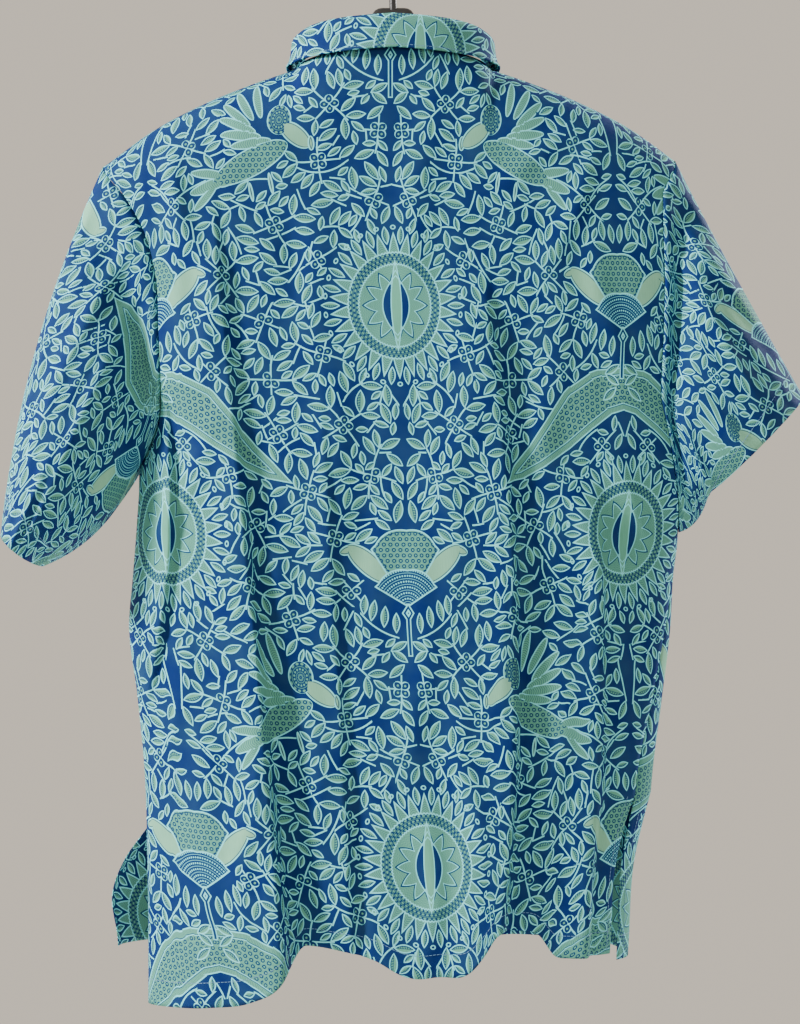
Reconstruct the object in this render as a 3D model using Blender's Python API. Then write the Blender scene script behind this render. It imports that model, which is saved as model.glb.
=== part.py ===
"""Men's short-sleeved batik shirt, buttoned, hanging on a plain plastic hanger.

Frame: +Z up, the front of the shirt faces -Y and its back +Y, the wearer's left is +X.
The origin is where a rail carries the hook. Each panel is a thin wall: a grid of points on
the outer face, worked out from the tables below, and the same grid moved in by the wall.
Tables are in millimetres; "drop" is the height below the top edge of the collar.
"""
from collections import namedtuple
import math

import bmesh
import bpy
import numpy as np

MM = 0.001

# Driving sizes, in millimetres.
WALL = 1.5                  # thickness of every cloth wall
SEAM_GAP = 0.3              # space between two pieces that are sewn together
COLLAR_TOP = -78.0          # height of the collar's top edge, below the hook's bearing point
LEFT_TIP = 240.0            # half width at the left shoulder tip
RIGHT_TIP = 233.0           # half width at the right shoulder tip
NECK_HALF = 80.0            # half width of the neckline
NECK_DROP = 41.0            # drop of the neckline at the shoulder seams
NECK_RISE_BACK = 13.0       # how much higher the neckline is at the centre back
NECK_FALL_FRONT = 61.0      # how much lower it is at the centre front
NECK_BACK = 36.0            # how far the neckline reaches back
NECK_FRONT = 56.0           # and forward
OVER_ARM = 70.0             # drop over which the cloth rounds off the hanger's arms
EDGE_POWER = 3.0            # how squarely a section turns at its sides
OVERLAP = 16.0              # how far each front passes the centre line
PLACKET_HALF = 16.0         # half width of the button placket
BUTTON_RADIUS = 5.5
BUTTON_THICK = 2.4
BUTTONS = 6                 # on the placket, with one more on the collar stand

# Outline and depth of the body, down the garment. Left and right are half widths.
Section = namedtuple("Section", "drop left right back front drift")
SECTIONS = [
    Section(28, 240, 233, 36, 56, 0),
    Section(120, 240, 233, 38, 56, 0),
    Section(147, 221, 221, 39, 56, -1),
    Section(175, 205, 221, 40, 55, -2),
    Section(210, 195, 222, 41, 54, -4),
    Section(260, 192, 221, 42, 53, -6),
    Section(310, 190, 219, 43, 52, -9),
    Section(340, 194, 225, 44, 51, -11),
    Section(364, 208, 229, 44, 50, -13),
    Section(395, 211, 234, 44, 50, -14),
    Section(424, 213, 236, 44, 50, -15),
    Section(462, 216, 232, 44, 49, -16),
    Section(500, 219, 230, 43, 48, -16),
    Section(560, 212, 223, 42, 48, -16),
    Section(623, 206, 215, 42, 48, -16),
    Section(686, 204, 211, 43, 49, -16),
    Section(767, 203, 209, 45, 50, -16),
    Section(815, 203, 207, 46, 50, -16),
]

# Half depth of each armhole, which closes at the underarm.
Armhole = namedtuple("Armhole", "drop half_depth")
LEFT_ARMHOLE = [Armhole(121, 24), Armhole(260, 27), Armhole(310, 26), Armhole(340, 18), Armhole(364, 0)]
RIGHT_ARMHOLE = [Armhole(119, 24), Armhole(260, 27), Armhole(350, 26), Armhole(395, 18), Armhole(424, 0)]

# The right side seam lies round on the back: degrees from the side edge.
SeamTurn = namedtuple("SeamTurn", "drop degrees")
RIGHT_SEAM = [SeamTurn(424, 0), SeamTurn(500, 14), SeamTurn(560, 20), SeamTurn(638, 27), SeamTurn(815, 27)]
LEFT_SLIT_TOP = 669.0       # drop at which the side seams stop and the slits begin
RIGHT_SLIT_TOP = 638.0

# How far the slit edges stray sideways below the side seams, towards the wearer's left.
Flare = namedtuple("Flare", "drop sideways")
FRONT_LEFT_FLARE = [Flare(669, 0), Flare(695, 19), Flare(729, 30), Flare(757, 26), Flare(790, 24)]
FRONT_RIGHT_FLARE = [Flare(638, 0), Flare(698, 11), Flare(768, 14)]
BACK_RIGHT_FLARE = [Flare(638, 0), Flare(660, 8), Flare(698, 17), Flare(751, 20), Flare(790, 22)]
SLIT_LIFT = 4.0             # the back stands off the front beside the right slit
FLARE_START = 0.55          # share of the half width where a slit edge starts to stray

# Drop of the hems across the garment, from the wearer's right to left.
HemPoint = namedtuple("HemPoint", "across drop")
BACK_HEM = [
    HemPoint(-178, 768), HemPoint(-165, 766), HemPoint(-152, 750), HemPoint(-133, 746),
    HemPoint(-109, 749), HemPoint(-97, 763), HemPoint(-82, 777), HemPoint(-50, 782),
    HemPoint(-8, 781), HemPoint(14, 769), HemPoint(40, 762), HemPoint(70, 758),
    HemPoint(90, 787), HemPoint(115, 802), HemPoint(150, 808), HemPoint(203, 813),
]
FRONT_HEM = [HemPoint(-210, 774), HemPoint(-120, 766), HemPoint(0, 772), HemPoint(110, 764), HemPoint(235, 768)]

# Drop of the shoulder line from the neck to the shoulder tips.
ShoulderPoint = namedtuple("ShoulderPoint", "across drop")
SHOULDER = [
    ShoulderPoint(80, 40), ShoulderPoint(118, 53), ShoulderPoint(157, 69),
    ShoulderPoint(197, 90), ShoulderPoint(240, 121),
]

# Folds hanging down the cloth. A step is proud on its left; a ridge on neither side.
# Places and heights are at the top, middle and bottom of each fold.
Fold = namedtuple("Fold", "kind top bottom x_top x_middle x_bottom width height_top height_bottom")
BACK_FOLDS = [
    Fold("step", 150, 830, 145, 110, 78, 26, 0, 24),
    Fold("step", 310, 560, 190, 180, 203, 18, 6, 3),
    Fold("step", 250, 800, -78, -102, -84, 24, 2, 12),
    Fold("step", 430, 790, -168, -172, -162, 18, 1, 7),
    Fold("ridge", 120, 330, 182, 176, 170, 20, 4, 2),
    Fold("ridge", 420, 830, 22, 14, 4, 60, 0, 9),
    Fold("ridge", 500, 830, 150, 152, 160, 46, 0, 8),
]
FRONT_FOLDS = [
    Fold("ridge", 150, 800, 120, 125, 118, 44, 2, 14),
    Fold("ridge", 420, 800, 58, 66, 74, 34, 0, 8),
    Fold("ridge", 200, 800, -112, -104, -98, 48, 3, 13),
    Fold("ridge", 380, 800, -170, -160, -156, 36, 0, 9),
]

# Rows of the panels: from the top edge to the underarm, to the slits, to the hem.
ROWS = (8, 6, 4)
ROW_CROWDING = (1.6, 1.0, 1.0)      # rows crowd towards the top of a stretch above 1
SHOULDER_COLUMNS = 9
NECK_STEP = 15.0            # degrees of the neckline between two columns

# Sleeves: outer and under corner of each hem ring, and how the tube swells between.
Sleeve = namedtuple("Sleeve", "side outer outer_drop under under_drop half_depth "
                    "swell_outer swell_under swell_down")
SLEEVES = {
    "sleeve_left": Sleeve(1, 323, 424, 290, 452, 60, 14, 8, 11),
    "sleeve_right": Sleeve(-1, 340, 312, 262, 391, 42, -2, -3, 6),
}
SLEEVE_ROWS = 6
SLEEVE_SWELL_DEPTH = 10.0
ARMHOLE_DIP = 13.0          # the sleeve sinks just outside the armhole seam
DIP_PLACE = 0.14
DIP_WIDTH = 0.11

# Collar: heights of the stand's fold line and of the fall's edge, round the neck.
CollarPoint = namedtuple("CollarPoint", "degrees fold edge spread")
COLLAR = [
    CollarPoint(0, 0, 29, 8), CollarPoint(40, 4, 33, 8), CollarPoint(70, 10, 37, 8),
    CollarPoint(90, 16, 39, 9), CollarPoint(105, 27, 45, 9), CollarPoint(120, 42, 66, 9),
    CollarPoint(135, 55, 100, 9), CollarPoint(150, 66, 126, 9), CollarPoint(180, 76, 142, 8),
]
STAND_LEAN = 3.0            # the stand leans in towards its top
FALL_REACH = 0.84           # the fall's lower edge spans less of the neck than its fold
FALL_CLEAR = 4.0            # how far the fall lies off the panels
COLLAR_STEP = 15.0          # degrees between two columns of the collar
COLLAR_END = 174.0

# Hanger: top edge, height and half depth of the moulded arms, by distance from the middle.
Arm = namedtuple("Arm", "across top height half_depth")
ARMS = [
    Arm(0, -11, 40, 6), Arm(9, -11, 39, 6), Arm(15, -9, 36, 6), Arm(24, 5, 28, 6),
    Arm(40, 23, 20, 6), Arm(60, 40, 15, 6), Arm(78, 51, 13, 6), Arm(118, 62, 13, 6),
    Arm(157, 79, 13, 6), Arm(190, 96, 13, 6), Arm(206, 108, 10, 5), Arm(211, 113, 4, 2.5),
]
ARM_SIDES = 12
HOOK_TUBE = 3.2             # radius of the hook's rod
HOOK_BEND = 21.0            # radius of the hook's middle line
HOOK_SIDES = 10


def clear_scene():
    for thing in list(bpy.data.objects):
        bpy.data.objects.remove(thing, do_unlink=True)


def curve(table, at, value, key="drop"):
    """Smooth curve through one column of a table, level beyond its ends."""
    places = np.array([getattr(row, key) for row in table], float)
    values = np.array([getattr(row, value) for row in table], float)
    slopes = np.gradient(values, places)
    spans = np.diff(values) / np.diff(places)
    flat = np.zeros(len(values), bool)
    flat[1:-1] = spans[1:] * spans[:-1] <= 0
    slopes[flat] = 0
    at = np.clip(np.asarray(at, float), places[0], places[-1])
    left = np.clip(np.searchsorted(places, at, side="right") - 1, 0, len(places) - 2)
    step = places[left + 1] - places[left]
    t = (at - places[left]) / step
    return ((2 * t**3 - 3 * t**2 + 1) * values[left] + (t**3 - 2 * t**2 + t) * step * slopes[left]
            + (3 * t**2 - 2 * t**3) * values[left + 1] + (t**3 - t**2) * step * slopes[left + 1])


def smooth(t):
    t = np.clip(t, 0, 1)
    return t * t * (3 - 2 * t)


def outline_x(xi, drop):
    """Place across the body: xi runs from -1 at the right side edge to 1 at the left."""
    left = LEFT_TIP * xi + (curve(SECTIONS, drop, "left") - LEFT_TIP) * np.abs(xi) ** 3
    right = RIGHT_TIP * xi - (curve(SECTIONS, drop, "right") - RIGHT_TIP) * np.abs(xi) ** 3
    side = np.where(xi > 0, left, right)
    return side + curve(SECTIONS, drop, "drift") * (1 - np.abs(xi) ** 3)


def neck(x):
    """Share of the neckline's depth at a place across it, nought past its ends."""
    return np.sqrt(np.clip(1 - (x / NECK_HALF) ** 2, 0, 1))


def top_drop(x, front):
    """Drop of a panel's top edge, along the shoulder seam and the neckline."""
    shoulder = curve(SHOULDER, np.abs(x), "drop", key="across")
    change = NECK_FALL_FRONT if front else -NECK_RISE_BACK
    return np.where(np.abs(x) < NECK_HALF, NECK_DROP + change * neck(x), shoulder)


def fold_height(folds, x, drop):
    """How far the folds lift the cloth off its plain section."""
    height = np.zeros(np.broadcast(x, drop).shape)
    for fold in folds:
        share = np.clip((drop - fold.top) / (fold.bottom - fold.top), 0, 1)
        middle = fold.x_middle - (fold.x_top + fold.x_bottom) / 2
        place = fold.x_top + (fold.x_bottom - fold.x_top) * share + middle * 4 * share * (1 - share)
        rise = fold.height_top + (fold.height_bottom - fold.height_top) * share
        rise = rise * smooth((drop - fold.top) / 60 + 0.5) * smooth((fold.bottom - drop) / 60 + 0.5)
        off = (x - place) / fold.width
        if fold.kind == "step":
            shape = smooth(off + 0.5) * np.exp(-np.clip(off - 0.5, 0, None) / 2.6)
        else:
            shape = np.exp(-off**2 * 4)
        height = height + rise * shape
    return height


def body_point(angle, drop, front, flare=None):
    """A point of the outer face. The angle is 90 at the left edge, -90 at the right, 0 behind."""
    xi = np.sin(np.radians(angle))
    behind = np.cos(np.radians(angle)) >= 0
    x = outline_x(xi, drop)
    depth = np.where(behind, curve(SECTIONS, drop, "back"), curve(SECTIONS, drop, "front"))
    edge = np.where(xi > 0, curve(LEFT_ARMHOLE, drop, "half_depth"), curve(RIGHT_ARMHOLE, drop, "half_depth"))
    ring = np.sqrt(edge**2 + (depth**2 - edge**2) * (1 - np.abs(xi) ** EDGE_POWER))
    below = np.clip((drop - top_drop(x, front)) / OVER_ARM, 0, 1)
    over_arm = np.sqrt(1 - (1 - below) ** 2)
    start = (NECK_FRONT if front else NECK_BACK) * neck(x) + SEAM_GAP
    depth_here = start + (ring - start) * over_arm
    folds = FRONT_FOLDS if front else BACK_FOLDS
    depth_here = depth_here + fold_height(folds, x, drop) * (1 - np.abs(xi) ** 6) * over_arm
    if flare:
        weight = smooth((np.abs(xi) - FLARE_START) / (1 - FLARE_START))
        x = x + curve(flare, drop, "sideways") * weight
        if not front:
            depth_here = depth_here + SLIT_LIFT * smooth((drop - flare[0].drop) / 40) * weight
    y = np.where(behind, depth_here, -depth_here)
    return np.stack(np.broadcast_arrays(x, y, COLLAR_TOP - drop), axis=-1)


def row_drops(top, under, slit, hem):
    """Drops of a panel's rows, so that rows meet the underarm and the top of the slit."""
    stretches = zip((top, under, slit), (under, slit, hem), ROWS, ROW_CROWDING)
    rows = [start + (end - start) * (step / count) ** crowding
            for start, end, count, crowding in stretches for step in range(count)]
    return np.array(rows + [hem])


def panel_columns(first_x, last_x, half_tip):
    """Places across the top edge: even along the shoulders, even in angle round the neck."""
    turns = int(round(180 / NECK_STEP))
    round_neck = [NECK_HALF * math.cos(math.pi * turn / turns) for turn in range(turns + 1)]
    reach = [NECK_HALF + (half_tip - NECK_HALF) * step / SHOULDER_COLUMNS
             for step in range(1, SHOULDER_COLUMNS + 1)]
    places = sorted(set(round_neck + reach + [-place for place in reach]), reverse=True)
    return [place for place in places if last_x - 0.01 <= place <= first_x + 0.01]


def panel_grid(angles, front, flare_left=None, flare_right=None):
    """Rows of points down a panel and the unit direction out of it at each point."""
    seam = 0.2                                       # degrees kept clear of a side seam
    points, normals = [], []
    for angle in angles:
        xi = math.sin(math.radians(angle))
        share = (1 - xi) / 2
        under = LEFT_ARMHOLE[-1].drop + (RIGHT_ARMHOLE[-1].drop - LEFT_ARMHOLE[-1].drop) * share
        slit = LEFT_SLIT_TOP + (RIGHT_SLIT_TOP - LEFT_SLIT_TOP) * share
        across = outline_x(xi, 790.0)
        hem = float(curve(FRONT_HEM if front else BACK_HEM, across, "drop", key="across"))
        tip = LEFT_TIP if xi > 0 else RIGHT_TIP
        top = float(top_drop(tip * xi, front))
        drops = row_drops(top, under, slit, hem)
        flare = flare_left if xi > 0 else flare_right
        here = np.full(len(drops), float(angle))
        if xi < 0:                                   # the right seam turns on to the back
            turn = curve(RIGHT_SEAM, drops, "degrees")
            here = -90 + turn + (here + 90) * (1 + turn / (90 if front else -90))
        here = here + (-seam if not front else seam) * np.sign(xi) * (abs(xi) > 0.999)
        points.append(body_point(here, drops, front, flare))
        nudge = 0.4
        first, second = here - nudge, here + nudge
        if abs(xi) > 0.999:                          # stay inside the panel beside an armhole
            inside = np.array([row < ROWS[0] for row in range(len(drops))])
            if (xi > 0) != front:
                second = np.where(inside, here, second)
            else:
                first = np.where(inside, here, first)
        sideways = body_point(second, drops, front, flare) - body_point(first, drops, front, flare)
        lower = body_point(here, drops + nudge, front, flare)
        downward = lower - body_point(here, np.maximum(drops - nudge, top), front, flare)
        out = np.cross(sideways, downward)
        if abs(xi) > 0.999:
            out[:ROWS[0], 0] = 0                     # the rim faces the sleeve squarely
            out[ROWS[0]] = (math.copysign(1, xi), 0, 0)
        if abs(tip * xi) >= NECK_HALF - 0.01:
            out[0] = (0, 0, 1)                       # and the other panel along the shoulder
        else:
            out[0] = (0, -1 if front else 1, 0)      # or the collar's stand round the neck
        normals.append(out / np.linalg.norm(out, axis=1)[:, None])
    return np.swapaxes(np.array(points), 0, 1), np.swapaxes(np.array(normals), 0, 1)


def cloth(name, outer, normals, colour, closed=False, wall=WALL):
    """A wall of cloth: the outer grid, the same grid moved in, and the rims between."""
    inner = outer - normals * wall
    rows, columns = outer.shape[:2]
    mesh = bmesh.new()
    skins = [[[mesh.verts.new(point * MM) for point in row] for row in skin] for skin in (outer, inner)]
    across = range(columns if closed else columns - 1)
    for row in range(rows - 1):
        for column in across:
            after = (column + 1) % columns
            corners = [(row, column), (row + 1, column), (row + 1, after), (row, after)]
            mesh.faces.new([skins[0][r][c] for r, c in corners])
            mesh.faces.new([skins[1][r][c] for r, c in reversed(corners)])
    for row, step in ((0, 1), (rows - 1, -1)):
        for column in across:
            after = (column + 1) % columns
            rim = [skins[0][row][column], skins[0][row][after], skins[1][row][after], skins[1][row][column]]
            mesh.faces.new(rim[::step])
    if not closed:
        for column, step in ((0, -1), (columns - 1, 1)):
            for row in range(rows - 1):
                rim = [skins[0][row][column], skins[0][row + 1][column],
                       skins[1][row + 1][column], skins[1][row][column]]
                mesh.faces.new(rim[::-step])
    bmesh.ops.recalc_face_normals(mesh, faces=mesh.faces)
    return finish(name, mesh, colour)


def finish(name, mesh, colour, roughness=0.85):
    """Make the object of a bmesh, with a material of its own."""
    data = bpy.data.meshes.new(name)
    mesh.to_mesh(data)
    mesh.free()
    piece = bpy.data.objects.new(name, data)
    bpy.context.scene.collection.objects.link(piece)
    material = bpy.data.materials.new(name)
    material.use_nodes = True
    shader = material.node_tree.nodes["Principled BSDF"]
    shader.inputs["Base Color"].default_value = (*colour, 1)
    shader.inputs["Roughness"].default_value = roughness
    data.materials.append(material)
    return piece


def column_angles(places, front):
    """Section angle of each column, from its place across the top edge."""
    tips = [LEFT_TIP if place > 0 else RIGHT_TIP for place in places]
    backs = [math.degrees(math.asin(max(-1.0, min(1.0, place / tip)))) for place, tip in zip(places, tips)]
    if not front:
        return backs
    return [180 - angle if angle > 0 else -180 - angle for angle in backs]


def make_body():
    """Back and both fronts; the fronts pass each other at the centre line."""
    left_half = panel_columns(LEFT_TIP, 0, LEFT_TIP)
    right_half = panel_columns(0, -RIGHT_TIP, RIGHT_TIP)
    places = left_half + right_half[1:]
    back, out = panel_grid(column_angles(places, False), False, flare_right=BACK_RIGHT_FLARE)
    cloth("back", back, out, (0.03, 0.15, 0.42))

    left_places = left_half[:-1] + [0.0, -OVERLAP]
    left, out = panel_grid(column_angles(left_places, True), True, FRONT_LEFT_FLARE, FRONT_RIGHT_FLARE)
    cloth("front_left", left, out, (0.04, 0.18, 0.46))

    right_places = [OVERLAP - 3, 0.0] + right_half[1:]
    right, out = panel_grid(column_angles(right_places, True), True, FRONT_LEFT_FLARE, FRONT_RIGHT_FLARE)
    right[:, :3, 1] += WALL + 1.2                    # its first columns pass under the left front
    cloth("front_right", right, out, (0.02, 0.14, 0.40))
    return {"back": back, "front_left": left, "front_right": right}


def make_sleeve(name, back_edge, front_edge):
    """A tube from the armhole's loop of points to its hem ring."""
    size = SLEEVES[name]
    count = ROWS[0]
    loop = np.concatenate([back_edge[:count + 1], front_edge[count - 1:0:-1]])
    loop[0, 1] = 0
    loop[count, 1] = 0
    loop[:, 0] += size.side * (SEAM_GAP + 0.2)
    turn = np.radians(180.0 * np.arange(2 * count) / count)
    outer = np.array([size.side * size.outer, 0, COLLAR_TOP - size.outer_drop])
    under = np.array([size.side * size.under, 0, COLLAR_TOP - size.under_drop])
    hem = ((outer + under) / 2 + np.outer(np.cos(turn), (outer - under) / 2)
           + np.outer(np.sin(turn), (0, size.half_depth, 0)))
    top_share = (1 + np.cos(turn))[:, None] / 2
    swell = (top_share * np.array([size.side * size.swell_outer, 0, 0])
             + (1 - top_share) * np.array([-size.side * size.swell_under, 0, -size.swell_down])
             + np.outer(np.sin(turn), (0, SLEEVE_SWELL_DEPTH, 0)))
    dip = np.outer(np.sin(turn), (0, ARMHOLE_DIP, 0))

    def ring(share):
        sink = math.exp(-((share - DIP_PLACE) / DIP_WIDTH) ** 2) * smooth(share / DIP_PLACE)
        return loop + (hem - loop) * share + swell * 4 * share * (1 - share) - dip * sink

    shares = np.linspace(0, 1, SLEEVE_ROWS + 1)
    grid = np.array([ring(share) for share in shares])
    along = np.gradient(grid, axis=0)
    around = (np.roll(grid, -1, axis=1) - np.roll(grid, 1, axis=1))
    out = np.cross(along, around)
    centre = grid.mean(axis=1, keepdims=True)
    out *= np.sign(np.sum(out * (grid - centre), axis=2, keepdims=True))
    out[0, :, 0] = 0
    out /= np.linalg.norm(out, axis=2, keepdims=True)
    cloth(name, grid, out, (0.03, 0.17, 0.44), closed=True)


def neck_point(degrees, lift, lean, spread=0.0):
    """A point above or below the neckline; degrees run from the centre back, left positive."""
    turn = np.radians(degrees)
    c = np.cos(turn)
    drop = NECK_DROP + np.where(c > 0, -NECK_RISE_BACK, NECK_FALL_FRONT) * np.abs(c) + lift
    reach = np.where(c > 0, NECK_BACK, NECK_FRONT)
    out = np.stack([np.sin(turn) * (NECK_HALF + spread - lean), c * (reach + spread - lean)], axis=-1)
    return out, drop


def clear_of_body(x, y, drop):
    """Push the collar's fall out until it lies over the panels instead of in them."""
    clear = []
    for across, depth, down in zip(x, y, drop):
        front = depth < 0
        xi = across / (LEFT_TIP if across > 0 else RIGHT_TIP)
        angle = math.degrees(math.asin(xi))
        if front:
            angle = math.copysign(180, across) - angle
        if down > float(top_drop(across, front)) - 3:
            limit = abs(float(body_point(angle, down, front)[1])) + WALL + FALL_CLEAR
            depth = math.copysign(max(abs(depth), limit), depth)
        clear.append(depth)
    return np.array(clear)


def make_collar():
    """The stand, whose ends pass each other, and the fall turned down outside it."""
    round_neck = np.arange(COLLAR_STEP - 180, 180, COLLAR_STEP)
    places = np.concatenate([[-COLLAR_END], round_neck, [COLLAR_END]])
    ends = np.concatenate([[-191.0, -180.0], round_neck, [180.0, 190.0]])
    flat, drop = neck_point(ends, -1.6, 0.0)
    fold = curve(COLLAR, np.abs(ends), "fold", key="degrees")
    top_flat, _ = neck_point(ends, 0, STAND_LEAN)
    tuck = smooth((-ends - 150) / 25) * 2 * (WALL + SEAM_GAP)    # the right end passes inside
    rows = []
    for share in (0.0, 0.5, 1.0):
        x = flat[:, 0] + (top_flat[:, 0] - flat[:, 0]) * share
        y = flat[:, 1] + (top_flat[:, 1] - flat[:, 1]) * share + tuck
        z = COLLAR_TOP - (drop + (fold + 2.0 - drop) * share)
        rows.append(np.stack([x, y, z], axis=-1))
    stand = np.array(rows)
    cloth("collar_stand", stand, outward(stand), (0.05, 0.20, 0.48))

    lower = places * FALL_REACH
    edge = curve(COLLAR, np.abs(lower), "edge", key="degrees")
    spread = curve(COLLAR, np.abs(lower), "spread", key="degrees")
    top_drop_line = curve(COLLAR, np.abs(places), "fold", key="degrees")
    low_flat, _ = neck_point(lower, 0, 0, spread)
    rows = []
    for share, bow in ((0.0, -1.8), (0.12, 1.6), (0.4, 2.6), (0.7, 1.6), (1.0, 0.0)):
        flat, _ = neck_point(places, 0, STAND_LEAN, 4.2 + bow)
        x = flat[:, 0] + (low_flat[:, 0] - flat[:, 0]) * share
        y = flat[:, 1] + (low_flat[:, 1] - flat[:, 1]) * share
        drop = top_drop_line + (edge - top_drop_line) * share
        rows.append(np.stack([x, clear_of_body(x, y, drop), COLLAR_TOP - drop], axis=-1))
    fall = np.array(rows)
    cloth("collar_fall", fall, outward(fall), (0.06, 0.22, 0.50))
    return stand


def outward(grid):
    """Unit directions out of a wall that stands round the neck."""
    out = np.cross(np.gradient(grid, axis=0), np.gradient(grid, axis=1))
    radial = grid.copy()
    radial[..., 2] = 0
    out *= np.sign(np.sum(out * radial, axis=2, keepdims=True))
    return out / np.linalg.norm(out, axis=2, keepdims=True)


def make_placket(front):
    """A folded strip on the left front, made from that panel's points moved out."""
    centre = front[:, -2]
    rows = []
    for side in np.linspace(-1, 1, 5):
        strip = centre.copy()
        strip[:, 0] += side * PLACKET_HALF - 0.5
        strip[:, 1] = np.minimum(front[:, -3:, 1].min(axis=1), centre[:, 1]) - SEAM_GAP - WALL - 0.2
        rows.append(strip)
    grid = np.swapaxes(np.array(rows), 0, 1)
    grid[0, :, 2] = grid[0, :, 2].min() - 2.0
    out = np.zeros_like(grid)
    out[..., 1] = -1
    cloth("placket", grid, out, (0.05, 0.20, 0.47))
    return grid


def make_buttons(placket, stand):
    """Turned buttons down the placket, and one on the end of the stand."""
    drops = np.linspace(-placket[0, 2, 2] + 38, -placket[-1, 2, 2] - 95, BUTTONS)
    spots = [(placket[0, 2, 0], float(np.interp(drop, -placket[:, 2, 2], placket[:, 2, 1])), -drop)
             for drop in drops]
    stand_end = stand[1, -2]
    spots.insert(0, (stand_end[0] - 4, stand[:, -3:, 1].min() - 0.6, stand_end[2]))
    for number, (x, y, z) in enumerate(spots):
        mesh = bmesh.new()
        bmesh.ops.create_cone(mesh, cap_ends=True, segments=14, radius1=BUTTON_RADIUS * MM,
                              radius2=BUTTON_RADIUS * MM, depth=BUTTON_THICK * MM)
        button = finish("button_%d" % number, mesh, (0.05, 0.10, 0.30), 0.3)
        button.rotation_euler = (math.radians(90), 0, 0)
        button.location = (x * MM, (y - 0.9 - BUTTON_THICK / 2) * MM, z * MM)


def make_hanger():
    """Moulded arms under the shoulders, rising to a boss that holds the hook."""
    mesh = bmesh.new()
    sections = [Arm(-arm.across, arm.top, arm.height, arm.half_depth) for arm in ARMS[:0:-1]] + ARMS
    rings = []
    for arm in sections:
        ring = []
        for corner in range(ARM_SIDES):
            turn = math.tau * corner / ARM_SIDES
            y = arm.half_depth * math.cos(turn)
            z = COLLAR_TOP - arm.top - arm.height / 2 * (1 - math.sin(turn))
            ring.append(mesh.verts.new((arm.across * MM, y * MM, z * MM)))
        rings.append(ring)
    for ring, following in zip(rings, rings[1:]):
        for corner in range(ARM_SIDES):
            after = (corner + 1) % ARM_SIDES
            mesh.faces.new((ring[corner], ring[after], following[after], following[corner]))
    mesh.faces.new(rings[0])
    mesh.faces.new(rings[-1])
    bmesh.ops.recalc_face_normals(mesh, faces=mesh.faces)
    body = finish("hanger", mesh, (0.012, 0.012, 0.014), 0.25)

    hook_top = HOOK_TUBE + HOOK_BEND                 # the bearing point is the hook's inner top
    centre = HOOK_TUBE - hook_top
    foot = COLLAR_TOP - ARMS[0].top - 12
    path = [(0, foot), (0, COLLAR_TOP - ARMS[0].top + 6), (1.5, centre - HOOK_BEND - 3)]
    for degrees in range(-60, 211, 15):
        turn = math.radians(degrees)
        path.append((HOOK_BEND * math.cos(turn), centre + HOOK_BEND * math.sin(turn)))
    mesh = bmesh.new()
    rings = []
    for index, (x, z) in enumerate(path):
        before, after = path[max(index - 1, 0)], path[min(index + 1, len(path) - 1)]
        length = math.hypot(after[0] - before[0], after[1] - before[1])
        side = ((after[1] - before[1]) / length, -(after[0] - before[0]) / length)
        ring = []
        for corner in range(HOOK_SIDES):
            turn = math.tau * corner / HOOK_SIDES
            out, y = HOOK_TUBE * math.cos(turn), HOOK_TUBE * math.sin(turn)
            ring.append(mesh.verts.new(((x + side[0] * out) * MM, y * MM, (z + side[1] * out) * MM)))
        rings.append(ring)
    for ring, following in zip(rings, rings[1:]):
        for corner in range(HOOK_SIDES):
            after = (corner + 1) % HOOK_SIDES
            mesh.faces.new((ring[corner], ring[after], following[after], following[corner]))
    mesh.faces.new(rings[0])
    mesh.faces.new(rings[-1])
    bmesh.ops.recalc_face_normals(mesh, faces=mesh.faces)
    hook = finish("hook_shape", mesh, (0.012, 0.012, 0.014), 0.25)
    hook.hide_render = True
    hook.display_type = "WIRE"
    join = body.modifiers.new("hook", "BOOLEAN")
    join.operation = "UNION"
    join.object = hook


clear_scene()
panels = make_body()
make_sleeve("sleeve_left", panels["back"][:, 0].copy(), panels["front_left"][:, 0].copy())
make_sleeve("sleeve_right", panels["back"][:, -1].copy(), panels["front_right"][:, -1].copy())
stand_grid = make_collar()
placket_grid = make_placket(panels["front_left"])
make_buttons(placket_grid, stand_grid)
make_hanger()
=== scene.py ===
import math
import random
from collections import namedtuple

import bmesh
import bpy
import mathutils
import numpy as np
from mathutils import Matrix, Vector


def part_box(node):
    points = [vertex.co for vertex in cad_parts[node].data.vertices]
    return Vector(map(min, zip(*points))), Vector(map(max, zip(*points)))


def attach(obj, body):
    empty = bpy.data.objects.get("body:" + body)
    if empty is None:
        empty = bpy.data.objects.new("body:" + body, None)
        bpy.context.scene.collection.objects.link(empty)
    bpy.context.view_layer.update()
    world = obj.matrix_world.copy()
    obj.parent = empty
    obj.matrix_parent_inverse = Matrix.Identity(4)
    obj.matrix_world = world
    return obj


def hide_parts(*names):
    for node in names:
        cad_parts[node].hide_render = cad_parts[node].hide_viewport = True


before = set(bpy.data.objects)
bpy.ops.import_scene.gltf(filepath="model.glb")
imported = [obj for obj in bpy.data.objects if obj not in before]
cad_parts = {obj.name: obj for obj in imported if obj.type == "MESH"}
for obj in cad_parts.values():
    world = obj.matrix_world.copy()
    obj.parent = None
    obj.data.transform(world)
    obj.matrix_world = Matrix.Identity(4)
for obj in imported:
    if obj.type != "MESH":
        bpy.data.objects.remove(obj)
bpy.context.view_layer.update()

# Studio. The shirt hangs clear of a pale floor between large soft lamps: the key high on the
# wearer's left, a fill on the right, and two lamps on the far side for the buttoned fronts.
floor_mesh = bmesh.new()
bmesh.ops.create_grid(floor_mesh, x_segments=1, y_segments=1, size=1.5)
bmesh.ops.translate(floor_mesh, verts=floor_mesh.verts, vec=(0, 0, -1.25))
floor_data = bpy.data.meshes.new("studio_floor")
floor_mesh.to_mesh(floor_data)
floor_mesh.free()
floor = bpy.data.objects.new("studio_floor", floor_data)
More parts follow.
